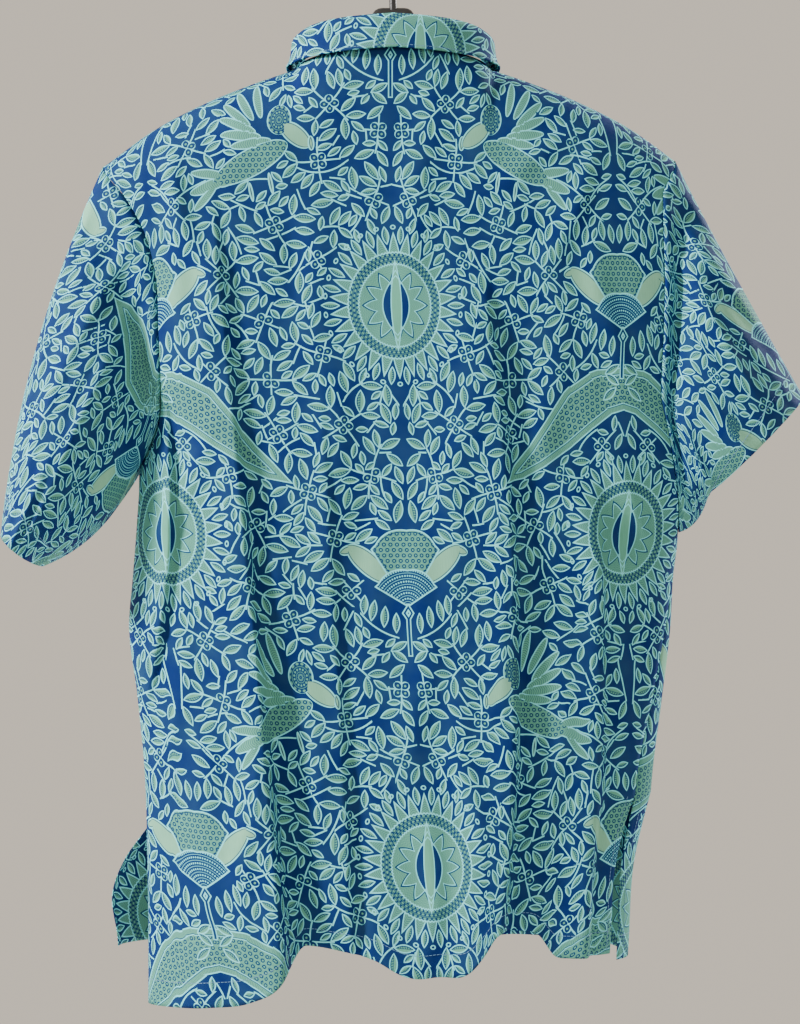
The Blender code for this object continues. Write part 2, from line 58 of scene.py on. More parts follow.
bpy.context.scene.collection.objects.link(floor)
floor_paint = bpy.data.materials.new("floor_paint")
floor_paint.use_nodes = True
floor_paint.node_tree.nodes["Principled BSDF"].inputs["Base Color"].default_value = (0.62, 0.60, 0.57, 1)
floor_paint.node_tree.nodes["Principled BSDF"].inputs["Roughness"].default_value = 0.7
floor_data.materials.append(floor_paint)

Lamp = namedtuple("Lamp", "name x y z size watts")
LAMPS = [
    Lamp("key_lamp", 2.45, 0.92, 0.9, 0.5, 225), Lamp("fill_lamp", -1.7, 2.3, -0.2, 1.8, 10),
    Lamp("front_key_lamp", -2.1, -1.3, 0.9, 0.7, 150), Lamp("front_fill_lamp", 1.8, -2.1, -0.2, 1.6, 14),
]
for lamp in LAMPS:
    light = bpy.data.lights.new(lamp.name, "AREA")
    light.shape = "DISK"
    light.size = lamp.size
    light.energy = lamp.watts
    light.color = (1.0, 0.98, 0.95)
    stand = bpy.data.objects.new(lamp.name, light)
    stand.location = (lamp.x, lamp.y, lamp.z)
    reach = math.hypot(lamp.x, lamp.y)
    stand.rotation_euler = (math.atan2(reach, lamp.z + 0.45), 0, math.atan2(lamp.y, lamp.x) + math.pi / 2)
    bpy.context.scene.collection.objects.link(stand)

world = bpy.data.worlds.new("studio_walls")
bpy.context.scene.world = world
world.use_nodes = True
world.node_tree.nodes["Background"].inputs["Color"].default_value = (0.74, 0.66, 0.55, 1)
world.node_tree.nodes["Background"].inputs["Strength"].default_value = 1.0

lens = bpy.data.cameras.new("camera")
lens.sensor_width = 36.0
lens.lens = 86.5
camera = bpy.data.objects.new("camera", lens)
camera.location = (-0.0057, 2.04, -0.485)
camera.rotation_euler = (math.radians(90), 0, math.radians(180))
bpy.context.scene.collection.objects.link(camera)
bpy.context.scene.camera = camera

# Back. One panel of printed plain-weave cotton, cut to the full width and hung from the hanger's
# arms: it rounds over them, folds softly down to a wavy hem, and is slit at both side seams.
# Everything here is in millimetres, and "drop" is the depth below the collar's top edge.
MM = 0.001
SHELL = 0.6                 # thickness of the cotton
WALL = 1.5                  # depth that the cloth keeps from whatever lies on it
SEAM_GAP = 0.3              # space between two pieces that are sewn together
COLLAR_TOP = -78.0          # height of the collar's top edge, below the hook's bearing point
LEFT_TIP = 240.0            # half width at the left shoulder tip
RIGHT_TIP = 233.0           # half width at the right shoulder tip
NECK_HALF = 80.0            # half width of the neckline
NECK_DROP = 41.0            # drop of the neckline at the shoulder seams
NECK_RISE_BACK = 13.0       # how much higher the neckline is at the centre back
NECK_FALL_FRONT = 61.0      # how much lower it is at the centre front
NECK_BACK = 36.0            # how far the neckline reaches back
NECK_FRONT = 56.0           # and forward
OVER_ARM = 70.0             # drop over which the cloth rounds off the hanger's arms
EDGE_POWER = 3.0            # how squarely a section turns at its sides
OVERLAP = 16.0              # how far each front passes the centre line

# Outline and depth of the body, down the garment. Left and right are half widths.
Section = namedtuple("Section", "drop left right back front drift")
SECTIONS = [
    Section(28, 240, 233, 36, 56, 0),
    Section(120, 240, 233, 38, 56, 0),
    Section(147, 221, 221, 39, 56, -1),
    Section(175, 205, 221, 40, 55, -2),
    Section(210, 195, 222, 41, 54, -4),
    Section(260, 192, 221, 42, 53, -6),
    Section(310, 190, 219, 43, 52, -9),
    Section(340, 194, 225, 44, 51, -11),
    Section(364, 208, 229, 44, 50, -13),
    Section(395, 211, 234, 44, 50, -14),
    Section(424, 213, 236, 44, 50, -15),
    Section(462, 216, 232, 44, 49, -16),
    Section(500, 219, 230, 43, 48, -16),
    Section(560, 212, 223, 42, 48, -16),
    Section(623, 206, 215, 42, 48, -16),
    Section(686, 204, 211, 43, 49, -16),
    Section(767, 203, 209, 45, 50, -16),
    Section(815, 203, 207, 46, 50, -16),
]

# Half depth of each armhole, which closes at the underarm.
Armhole = namedtuple("Armhole", "drop half_depth")
LEFT_ARMHOLE = [Armhole(121, 24), Armhole(260, 27), Armhole(310, 26), Armhole(340, 18), Armhole(364, 0)]
RIGHT_ARMHOLE = [Armhole(119, 24), Armhole(260, 27), Armhole(350, 26), Armhole(395, 18), Armhole(424, 0)]

# The right side seam lies round on the back: degrees from the side edge.
SeamTurn = namedtuple("SeamTurn", "drop degrees")
RIGHT_SEAM = [SeamTurn(424, 0), SeamTurn(500, 14), SeamTurn(560, 20), SeamTurn(638, 27), SeamTurn(815, 27)]
LEFT_SLIT_TOP = 669.0       # drop at which the side seams stop and the slits begin
RIGHT_SLIT_TOP = 638.0

# How far the slit edges stray sideways below the side seams, towards the wearer's left.
Flare = namedtuple("Flare", "drop sideways")
BACK_RIGHT_FLARE = [Flare(638, 0), Flare(660, 8), Flare(698, 17), Flare(751, 20), Flare(790, 22)]
SLIT_LIFT = 4.0             # the back stands off the front beside the right slit
FLARE_START = 0.55          # share of the half width where a slit edge starts to stray

# Drop of the hems across the garment, from the wearer's right to left.
HemPoint = namedtuple("HemPoint", "across drop")
BACK_HEM = [
    HemPoint(-178, 768), HemPoint(-165, 766), HemPoint(-152, 750), HemPoint(-133, 746),
    HemPoint(-109, 749), HemPoint(-97, 763), HemPoint(-82, 777), HemPoint(-50, 782),
    HemPoint(-8, 781), HemPoint(14, 769), HemPoint(40, 762), HemPoint(70, 758),
    HemPoint(90, 787), HemPoint(115, 802), HemPoint(150, 808), HemPoint(203, 813),
]

# Drop of the shoulder line from the neck to the shoulder tips.
ShoulderPoint = namedtuple("ShoulderPoint", "across drop")
SHOULDER = [
    ShoulderPoint(80, 40), ShoulderPoint(118, 53), ShoulderPoint(157, 69),
    ShoulderPoint(197, 90), ShoulderPoint(240, 121),
]

# Folds hanging down the cloth. A step is proud on its left; a ridge on neither side.
# Places and heights are at the top, middle and bottom of each fold.
Fold = namedtuple("Fold", "kind top bottom x_top x_middle x_bottom width height_top height_bottom")
BACK_FOLDS = [
    Fold("step", 150, 830, 145, 110, 78, 26, 3, 30),
    Fold("step", 290, 570, 190, 180, 203, 18, 17, 12),
    Fold("step", 230, 800, -78, -102, -84, 24, 7, 20),
    Fold("step", 400, 790, -168, -172, -162, 18, 7, 16),
    Fold("step", 320, 760, 56, 42, 30, 20, 2, 9),
    Fold("ridge", 120, 330, 182, 176, 170, 20, 4, 2),
    Fold("ridge", 420, 830, 22, 14, 4, 60, 0, 9),
    Fold("ridge", 500, 830, 150, 152, 160, 46, 0, 8),
]

# Small creases left by wearing and storing: place, drop, lean from upright, size and height.
Crease = namedtuple("Crease", "across drop lean length width height")
BACK_CREASES = [
    Crease(-150, 150, 24, 60, 9, 2.2), Crease(-120, 118, 60, 40, 8, 1.4), Crease(168, 172, -20, 62, 9, 2.4),
    Crease(120, 96, -58, 42, 8, 1.4), Crease(205, 330, 38, 46, 8, 2.2), Crease(178, 396, 30, 60, 9, 2.6),
    Crease(-198, 402, -34, 52, 8, 2.4), Crease(-166, 452, -22, 70, 10, 2.4), Crease(-20, 150, 8, 70, 16, 1.2),
    Crease(52, 330, -6, 110, 15, 1.8), Crease(-52, 380, 5, 130, 14, 2.0), Crease(-128, 330, 4, 120, 13, 1.8),
    Crease(96, 470, -12, 90, 12, 2.2), Crease(-22, 560, 3, 120, 14, 2.4), Crease(60, 640, -5, 100, 12, 2.6),
    Crease(118, 700, 3, 80, 11, 2.6), Crease(-62, 650, -4, 110, 12, 2.8), Crease(-128, 640, 6, 90, 11, 2.4),
    Crease(178, 560, 7, 80, 10, 2.0), Crease(-190, 560, -7, 80, 10, 2.0), Crease(-30, 720, 2, 60, 10, 2.4),
    Crease(150, 250, 12, 60, 10, 1.6), Crease(-176, 250, -10, 60, 10, 1.8), Crease(24, 440, 10, 70, 13, -1.6),
    Crease(-100, 520, 8, 70, 12, -1.6), Crease(140, 610, -6, 70, 11, -1.8),
    Crease(84, 200, -14, 60, 12, -1.2),
]
ROWS = (92, 84, 42)         # from the top edge to the underarm, to the slits, to the hem
COLUMNS = 162
STEEPNESS = 3.4             # how sharply a step turns under at its edge
CREASE_DEPTH = 1.7          # how strongly the small creases show
CROWDING = 1.6              # how the armhole's points crowd towards the shoulder


def curve(table, at, value, key="drop"):
    """Smooth curve through one column of a table, level beyond its ends."""
    places = np.array([getattr(row, key) for row in table], float)
    values = np.array([getattr(row, value) for row in table], float)
    slopes = np.gradient(values, places)
    spans = np.diff(values) / np.diff(places)
    flat = np.zeros(len(values), bool)
    flat[1:-1] = spans[1:] * spans[:-1] <= 0
    slopes[flat] = 0
    at = np.clip(np.asarray(at, float), places[0], places[-1])
    left = np.clip(np.searchsorted(places, at, side="right") - 1, 0, len(places) - 2)
    step = places[left + 1] - places[left]
    t = (at - places[left]) / step
    return ((2 * t**3 - 3 * t**2 + 1) * values[left] + (t**3 - 2 * t**2 + t) * step * slopes[left]
            + (3 * t**2 - 2 * t**3) * values[left + 1] + (t**3 - t**2) * step * slopes[left + 1])


def smooth(t):
    t = np.clip(t, 0, 1)
    return t * t * (3 - 2 * t)


def outline_x(xi, drop):
    """Place across the body: xi runs from -1 at the right side edge to 1 at the left."""
    left = LEFT_TIP * xi + (curve(SECTIONS, drop, "left") - LEFT_TIP) * np.abs(xi) ** 3
    right = RIGHT_TIP * xi - (curve(SECTIONS, drop, "right") - RIGHT_TIP) * np.abs(xi) ** 3
    side = np.where(xi > 0, left, right)
    return side + curve(SECTIONS, drop, "drift") * (1 - np.abs(xi) ** 3)


def neck(x):
    """Share of the neckline's depth at a place across it, nought past its ends."""
    return np.sqrt(np.clip(1 - (x / NECK_HALF) ** 2, 0, 1))


def top_drop(x, front):
    """Drop of a panel's top edge, along the shoulder seam and the neckline."""
    shoulder = curve(SHOULDER, np.abs(x), "drop", key="across")
    change = NECK_FALL_FRONT if front else -NECK_RISE_BACK
    return np.where(np.abs(x) < NECK_HALF, NECK_DROP + change * neck(x), shoulder)


def fold_height(folds, x, drop):
    """How far the folds lift the cloth off its plain section."""
    height = np.zeros(np.broadcast(x, drop).shape)
    for fold in folds:
        share = np.clip((drop - fold.top) / (fold.bottom - fold.top), 0, 1)
        middle = fold.x_middle - (fold.x_top + fold.x_bottom) / 2
        place = fold.x_top + (fold.x_bottom - fold.x_top) * share + middle * 4 * share * (1 - share)
        rise = fold.height_top + (fold.height_bottom - fold.height_top) * share
        rise = rise * smooth((drop - fold.top) / 60 + 0.5) * smooth((fold.bottom - drop) / 60 + 0.5)
        off = (x - place) / fold.width
        if fold.kind == "step":
            shape = smooth(off * STEEPNESS + 0.5) * np.exp(-np.clip(off - 0.5, 0, None) / 2.6)
        else:
            shape = np.exp(-off**2 * 4)
        height = height + rise * shape
    return height


def crease_height(creases, x, drop):
    """Lift of the small creases, each a soft ridge or trough that dies out at both ends."""
    height = np.zeros(np.broadcast(x, drop).shape)
    for crease in creases:
        turn = math.radians(crease.lean)
        along = (x - crease.across) * math.sin(turn) + (drop - crease.drop) * math.cos(turn)
        across = (x - crease.across) * math.cos(turn) - (drop - crease.drop) * math.sin(turn)
        across = across + 4.0 * np.sin(along / 23.0 + crease.across)
        ridge = np.exp(-(across / crease.width) ** 2 - (along / crease.length) ** 2)
        height = height + CREASE_DEPTH * crease.height * ridge
    return height


def body_point(angle, drop, front, flare=None):
    """A point of the outer face. The angle is 90 at the left edge, -90 at the right, 0 behind."""
    xi = np.sin(np.radians(angle))
    behind = np.cos(np.radians(angle)) >= 0
    x = outline_x(xi, drop)
    depth = np.where(behind, curve(SECTIONS, drop, "back"), curve(SECTIONS, drop, "front"))
    edge = np.where(xi > 0, curve(LEFT_ARMHOLE, drop, "half_depth"), curve(RIGHT_ARMHOLE, drop, "half_depth"))
    ring = np.sqrt(edge**2 + (depth**2 - edge**2) * (1 - np.abs(xi) ** EDGE_POWER))
    below = np.clip((drop - top_drop(x, front)) / OVER_ARM, 0, 1)
    over_arm = np.sqrt(1 - (1 - below) ** 2)
    start = (NECK_FRONT if front else NECK_BACK) * neck(x) + SEAM_GAP
    depth_here = start + (ring - start) * over_arm
    folds = FRONT_FOLDS if front else BACK_FOLDS
    lift = fold_height(folds, x, drop) + crease_height(FRONT_CREASES if front else BACK_CREASES, x, drop)
    lift = lift + 0.5 * np.sin(x / 7.3 + drop / 31.0) * np.sin(drop / 19.0 - x / 41.0)
    depth_here = depth_here + lift * (1 - np.abs(xi) ** 6) * over_arm
    if flare:
        weight = smooth((np.abs(xi) - FLARE_START) / (1 - FLARE_START))
        x = x + curve(flare, drop, "sideways") * weight
        if not front:
            depth_here = depth_here + SLIT_LIFT * smooth((drop - flare[0].drop) / 40) * weight
    y = np.where(behind, depth_here, -depth_here)
    return np.stack(np.broadcast_arrays(x, y, COLLAR_TOP - drop), axis=-1)


def column_at(angle, front):
    """Drops of a column's top, underarm, slit and hem, and the column's own section angle."""
    xi = math.sin(math.radians(angle))
    share = (1 - xi) / 2
    under = LEFT_ARMHOLE[-1].drop + (RIGHT_ARMHOLE[-1].drop - LEFT_ARMHOLE[-1].drop) * share
    slit = LEFT_SLIT_TOP + (RIGHT_SLIT_TOP - LEFT_SLIT_TOP) * share
    hem = float(curve(FRONT_HEM if front else BACK_HEM, outline_x(xi, 790.0), "drop", key="across"))
    top = float(top_drop((LEFT_TIP if xi > 0 else RIGHT_TIP) * xi, front))
    return xi, top, under, slit, hem


def panel_grid(angles, front, flare_left=None, flare_right=None):
    """Points of a panel's outer face, a row for each drop and a column for each angle."""
    columns = []
    for angle in angles:
        angle = angle - 360 if angle > 180 else angle + 360 if angle < -180 else angle
        xi, top, under, slit, hem = column_at(angle, front)
        drops = np.concatenate([np.linspace(start, end, count + 1)[:-1] for start, end, count
                                in zip((top, under, slit), (under, slit, hem), ROWS)] + [[hem]])
        here = turned(angle, drops, front)
        here = here + (0.2 if front else -0.2) * np.sign(xi) * (abs(xi) > 0.999)
        columns.append(body_point(here, drops, front, flare_left if xi > 0 else flare_right))
    return np.swapaxes(np.array(columns), 0, 1)


def turned(angle, drops, front):
    """Section angle down a column: on the right the side seam turns on to the back."""
    if math.sin(math.radians(angle)) >= 0:
        return np.full(len(drops), float(angle))
    turn = curve(RIGHT_SEAM, drops, "degrees")
    return -90 + turn + (angle + 90) * (1 + turn / (90 if front else -90))


def even_angles(first, last, count, front):
    """Section angles that space a panel's columns evenly round the body."""
    fine = np.linspace(first, last, 400)
    wrapped = np.where(fine > 180, fine - 360, np.where(fine < -180, fine + 360, fine))
    ring = body_point(wrapped, np.full(400, 480.0), front)
    length = np.concatenate([[0], np.cumsum(np.linalg.norm(np.diff(ring, axis=0), axis=1))])
    return np.interp(np.linspace(0, length[-1], count), length, fine)


def flat_cut(grid, middle, level=0.4):
    """Where each point lies on the flat cloth: across from a column, and down to a common level."""
    step = np.linalg.norm(np.diff(grid, axis=1), axis=2)
    across = np.concatenate([np.zeros((len(grid), 1)), np.cumsum(step, axis=1)], axis=1)
    across = across - across[:, middle:middle + 1]
    down = np.linalg.norm(np.diff(grid, axis=0), axis=2)
    length = np.concatenate([np.zeros((1, grid.shape[1])), np.cumsum(down, axis=0)])
    reference = int(len(grid) * level)
    drop = COLLAR_TOP - grid[reference, :, 2]
    return np.stack([across, length - length[reference] + drop], axis=-1)


# The printed figure: half a repeat across, mirrored at both sides, and one repeat down.
HALF_REPEAT = 207.0
REPEAT = 455.0
SUN_DROP = 239.0            # where the back's middle sun lies, down the panel
LEAF, PLAIN, RING, FEATHER, SCALES, DOTS = range(6)
Petal = namedtuple("Petal", "x y ux uy length width kind")
SUN_ACROSS, SUN_DOWN = 38.0, 43.0
SUNS = [(0.0, 0.0), (0.0, REPEAT), (HALF_REPEAT, 186.0)]
CROWNS = [(0.0, 219.0), (HALF_REPEAT, -7.0), (HALF_REPEAT, REPEAT - 7.0)]
RAYS = 26
SUN_CLEAR = 54.0            # the leaves keep this far from a sun's middle
CROWN_CLEAR = ((-4, 33.0), (14, 22.0), (45, 3.0), (60, 3.0))    # drops and radii kept clear
STEM_STEP = 3.1
STEM_CLEAR = 1.1
FLOWER_APART = 43
FIRST_LEAVES = 6            # leaves on a stem from a flower
BRANCH_LEAVES = 4           # and on one that branches off another
QUARTERS = (0, 1.571, 3.142, 4.712)
MOST_SPOTS = 60000
# Bird, turned to the middle line: parts by place, heading in degrees, half length, half width.
Part = namedtuple("Part", "x y heading length width kind")
BIRD = [
    Part(90, 302, 90, 13.0, 10.0, DOTS), Part(76, 315, 142, 15.5, 8.0, PLAIN),
    Part(63, 322, 95, 6.0, 2.6, PLAIN),
    Part(88, 285, 250, 6.5, 2.2, LEAF), Part(82, 286, 285, 6.5, 2.2, LEAF),
    Part(113, 338, 28, 34.0, 11.5, SCALES), Part(147, 356, 20, 17.0, 5.0, FEATHER),
    Part(146, 346, -8, 17.0, 4.2, FEATHER), Part(150, 366, 48, 14.0, 3.6, FEATHER),
    Part(113, 322, 8, 17.0, 4.4, FEATHER), Part(122, 315, -6, 17.5, 4.4, FEATHER),
    Part(125, 306, -24, 17.5, 4.2, FEATHER), Part(127, 296, -42, 17.5, 4.0, FEATHER),
    Part(121, 287, -58, 17.5, 3.8, FEATHER), Part(110, 283, -74, 17.5, 3.6, FEATHER),
    Part(96, 355, 100, 9.0, 1.7, PLAIN), Part(112, 362, 100, 8.0, 1.7, PLAIN),
]
CROWN_PARTS = [
    Part(31, -9, -42, 22.0, 9.0, PLAIN), Part(47, -20, 20, 7.0, 4.0, PLAIN), Part(19, 34, 84, 9.0, 3.2, LEAF),
    Part(10, 39, 88, 8.5, 3.0, LEAF), Part(28, 29, 78, 9.0, 3.2, LEAF), Part(9, 66, -38, 8.0, 3.2, LEAF),
    Part(9, 58, 30, 8.0, 3.2, LEAF), Part(12, 78, 40, 8.5, 3.4, LEAF),
]
# Wing band: its middle line from the side to the point, with the half width at each place.
WingPoint = namedtuple("WingPoint", "x y half")
WING = [
    WingPoint(212, 66, 17), WingPoint(188, 70, 19), WingPoint(166, 84, 20), WingPoint(146, 104, 16),
    WingPoint(126, 122, 11), WingPoint(108, 135, 7), WingPoint(94, 143, 1.5),
]


class Figure:
    """Grows the leaves and stems of the print round its large motifs, keeping them apart."""

    def __init__(self, seed):
        self.draw = random.Random(seed)
        self.petals = []
        self.stems = []
        self.spots = np.zeros((MOST_SPOTS, 3))
        self.count = 0

    def fill(self, x, y, radius):
        self.spots[self.count] = (x, y, radius)
        self.count += 1

    def is_free(self, x, y, radius):
        if not radius + 0.5 < x < HALF_REPEAT - radius - 0.5:
            return False
        taken = self.spots[:self.count]
        down = np.abs(taken[:, 1] - y) % REPEAT
        down = np.minimum(down, REPEAT - down)
        return not np.any((taken[:, 0] - x) ** 2 + down ** 2 < (taken[:, 2] + radius) ** 2)

    def petal(self, x, y, heading, length, width, kind, gap=None):
        """Adds a petal; with a gap it is left out where it would come nearer than that to another."""
        ux, uy = math.cos(heading), math.sin(heading)
        rounds = [(x + ux * length * t, y + uy * length * t, width * share)
                  for t, share in ((-0.66, 0.62), (-0.3, 0.94), (0.1, 1.0), (0.45, 0.85), (0.78, 0.5))]
        if gap is not None and not all(self.is_free(a, b, r + gap) for a, b, r in rounds):
            return False
        self.petals.append(Petal(x, y % REPEAT, ux, uy, length, width, kind))
        for spot in rounds:
            self.fill(*spot)
        return True

    def leaf(self, x, y, heading):
        size = self.draw.uniform(7.6, 9.6)
        for shrink in (1.0, 0.88, 0.76, 0.66):
            length = size * shrink
            reach = length + 1.2
            if self.petal(x + reach * math.cos(heading), y + reach * math.sin(heading), heading,
                          length, max(length * 0.40, 2.6), LEAF, gap=0.4):
                return True
        return False

    def stem(self, x, y, heading, leaves):
        """A wandering stem with leaves by turns on its two sides and one at its end."""
        bend = self.draw.uniform(-0.10, 0.10)
        side = self.draw.choice((-1, 1))
        path, grown = [(x, y)], 0
        while grown < leaves:
            for _ in range(2):
                heading += bend
                ahead = (x + STEM_STEP * math.cos(heading), y + STEM_STEP * math.sin(heading))
                if not self.is_free(*ahead, STEM_CLEAR):
                    break
                x, y = ahead
                path.append(ahead)
            else:
                if self.leaf(x, y, heading + side * self.draw.uniform(0.55, 0.95)):
                    grown += 1
                if self.draw.random() < 0.85:
                    grown += self.leaf(x, y, heading - side * self.draw.uniform(0.6, 1.0))
                side = -side
                if len(path) > 24:
                    break
                continue
            break
        grown += self.leaf(x, y, heading + self.draw.uniform(-0.2, 0.2))
        if grown:
            self.stems += [(*first, *second) for first, second in zip(path, path[1:])]
            for place in path[1:]:
                self.fill(*place, 0.7)
        return path if grown else []

    def place_suns(self):
        for x, y in SUNS[::2]:
            self.fill(x, y, SUN_CLEAR)
            for ray in range(RAYS + 1):
                turn = math.tau * ray / RAYS
                across, down = math.cos(turn), math.sin(turn)
                place = (x + SUN_ACROSS * 1.38 * across, y + SUN_DOWN * 1.34 * down)
                if -1 < place[0] < HALF_REPEAT + 1:
                    self.petal(*place, math.atan2(SUN_DOWN * down, SUN_ACROSS * across), 7.6, 2.9, LEAF)

    def place_crowns(self):
        for x, y in CROWNS[:2]:
            side = 1 if x == 0 else -1
            for below, radius in CROWN_CLEAR:
                self.fill(x, y + below, radius)
            for part in CROWN_PARTS:
                heading = math.radians(part.heading)
                heading = heading if side > 0 else math.pi - heading
                self.petal(x + side * part.x, y + part.y, heading, part.length, part.width, part.kind)

    def place_bird_and_wing(self):
        for part in BIRD:
            self.petal(part.x, part.y, math.radians(part.heading), part.length, part.width, part.kind)
        self.fill(108, 312, 20.0)
        for share in np.linspace(0, len(WING) - 1, 40):
            place = WING[int(share)], WING[min(int(share) + 1, len(WING) - 1)]
            part = share - int(share)
            self.fill(*(first + (second - first) * part for first, second in zip(*place)))

    def place_flowers(self):
        """Small flowers of three or four ringed petals, well apart; gives back places and turns."""
        flowers = []
        for _ in range(900):
            x, y = self.draw.uniform(9, HALF_REPEAT - 9), self.draw.uniform(0, REPEAT)
            near = [math.hypot(x - a, min(abs(y - b), REPEAT - abs(y - b))) for a, b, _ in flowers]
            if self.is_free(x, y, 9.0) and all(distance > FLOWER_APART for distance in near):
                turn = self.draw.uniform(0, math.tau)
                flowers.append((x, y, turn))
                for quarter in range(self.draw.choice((3, 4))):
                    heading = turn + math.tau * quarter / 4
                    place = (x + 4.1 * math.cos(heading), y + 4.1 * math.sin(heading))
                    self.petal(*place, heading, 3.5, 3.5, RING)
        return flowers

    def grow_stems(self, flowers):
        """Stems out of each flower between its petals, then branches off those."""
        waiting = []
        for x, y, turn in flowers:
            for quarter in QUARTERS:
                heading = turn + math.pi / 4 + quarter
                place = (x + 3.6 * math.cos(heading), y + 3.6 * math.sin(heading))
                waiting.append((*place, heading, FIRST_LEAVES))
        self.draw.shuffle(waiting)
        while waiting:
            x, y, heading, leaves = waiting.pop(0)
            if leaves == FIRST_LEAVES:
                outside = (x + 6 * math.cos(heading), y + 6 * math.sin(heading))
                if not self.is_free(*outside, STEM_CLEAR):
                    continue
                self.stems.append((x, y, *outside))
                x, y = outside
            for place in self.stem(x, y, heading, leaves)[3::4]:
                turn = self.draw.choice((-1, 1)) * self.draw.uniform(0.9, 1.4)
                waiting.append((*place, heading + turn, BRANCH_LEAVES))

    def fill_gaps(self):
        """Short stems, then single leaves, wherever one still fits."""
        for attempt in range(9000):
            x, y = self.draw.uniform(1.5, HALF_REPEAT - 1.5), self.draw.uniform(0, REPEAT)
            heading = self.draw.uniform(0, math.tau)
            if attempt < 2500 and self.is_free(x, y, 2.4):
                self.stem(x, y, heading, 5)
            elif attempt >= 2500 and self.is_free(x, y, 1.0):
                for turn in (0, 0.8, -0.8, 1.6, -1.6, 2.4, -2.4, 3.1):
                    if self.leaf(x, y, heading + turn):
                        break


figure = Figure(11)
figure.place_suns()
figure.place_crowns()
figure.place_bird_and_wing()
figure.grow_stems(figure.place_flowers())
figure.fill_gaps()

# For every cell of one repeat, the two nearest petals, two nearest lengths of stem and the motif.
CELL = 1.5
STEM_REACH = 3.4            # how near its stem a face lies for the stem to show on it
NO_STEM = 9.0
MOTIF_REACH = 72            # how near its middle a face lies for a sun or crown to show
WING_REACH = 34
cells_across, cells_down = int(HALF_REPEAT / CELL) + 1, int(REPEAT / CELL) + 1
cell_x, cell_y = np.meshgrid((np.arange(cells_across) + 0.5) * CELL, (np.arange(cells_down) + 0.5) * CELL)
cell_places = np.stack([cell_x.ravel(), cell_y.ravel()], axis=1).astype(np.float32)


def with_repeats(table, column):
    """The table again one repeat above and below, as far as those copies can show."""
    table = np.array(table, np.float32)
    copies = [table]
    for shift in (-REPEAT, REPEAT):
        moved = table.copy()
        moved[:, column] += shift
        copies.append(moved)
    table = np.concatenate(copies)
    return table[(table[:, column[0]] > -60) & (table[:, column[0]] < REPEAT + 60)]


def nearest_two(table, distance):
    found = np.zeros((len(cell_places), 2), int)
    for start in range(0, len(cell_places), 2000):
        away = distance(cell_places[start:start + 2000, None, :], table[None])
        first = away.argmin(axis=1)
        away[np.arange(len(first)), first] = 1e6
        found[start:start + 2000] = np.stack([first, away.argmin(axis=1)], axis=1)
    return found


def petal_place(places, petals):
    """Place along and across a petal, each as a share of its half size."""
    off = places - petals[..., :2]
    along = (off[..., 0] * petals[..., 2] + off[..., 1] * petals[..., 3]) / petals[..., 4]
    across = (off[..., 1] * petals[..., 2] - off[..., 0] * petals[..., 3]) / petals[..., 5]
    return along, across


def petal_distance(places, petals):
    along, across = petal_place(places, petals)
    edge = np.clip(1 - along ** 2, 0, 1) ** np.where(petals[..., 6] == LEAF, 1.0, 0.5)
    beyond = np.clip(np.abs(along) - 1, 0, None) * petals[..., 4]
    return (np.abs(across) - edge) * petals[..., 5] + beyond


def stem_distance(places, stems):
    step = stems[..., 2:] - stems[..., :2]
    off = places - stems[..., :2]
    share = np.clip((off * step).sum(-1) / np.maximum((step ** 2).sum(-1), 1e-6), 0, 1)
    return np.linalg.norm(off - step * share[..., None], axis=-1)


all_petals = with_repeats(figure.petals, [1])
all_stems = with_repeats(figure.stems, [1, 3])
petals_by_cell = nearest_two(all_petals, petal_distance)
stems_by_cell = nearest_two(all_stems, stem_distance)
motifs = np.array([(x, y, 1) for x, y in SUNS] + [(x, y, 2) for x, y in CROWNS], np.float32)
wing_line = np.array([[np.interp(t, range(len(WING)), [getattr(point, key) for point in WING])
                       for key in ("x", "y", "half")] for t in np.linspace(0, len(WING) - 1, 61)])


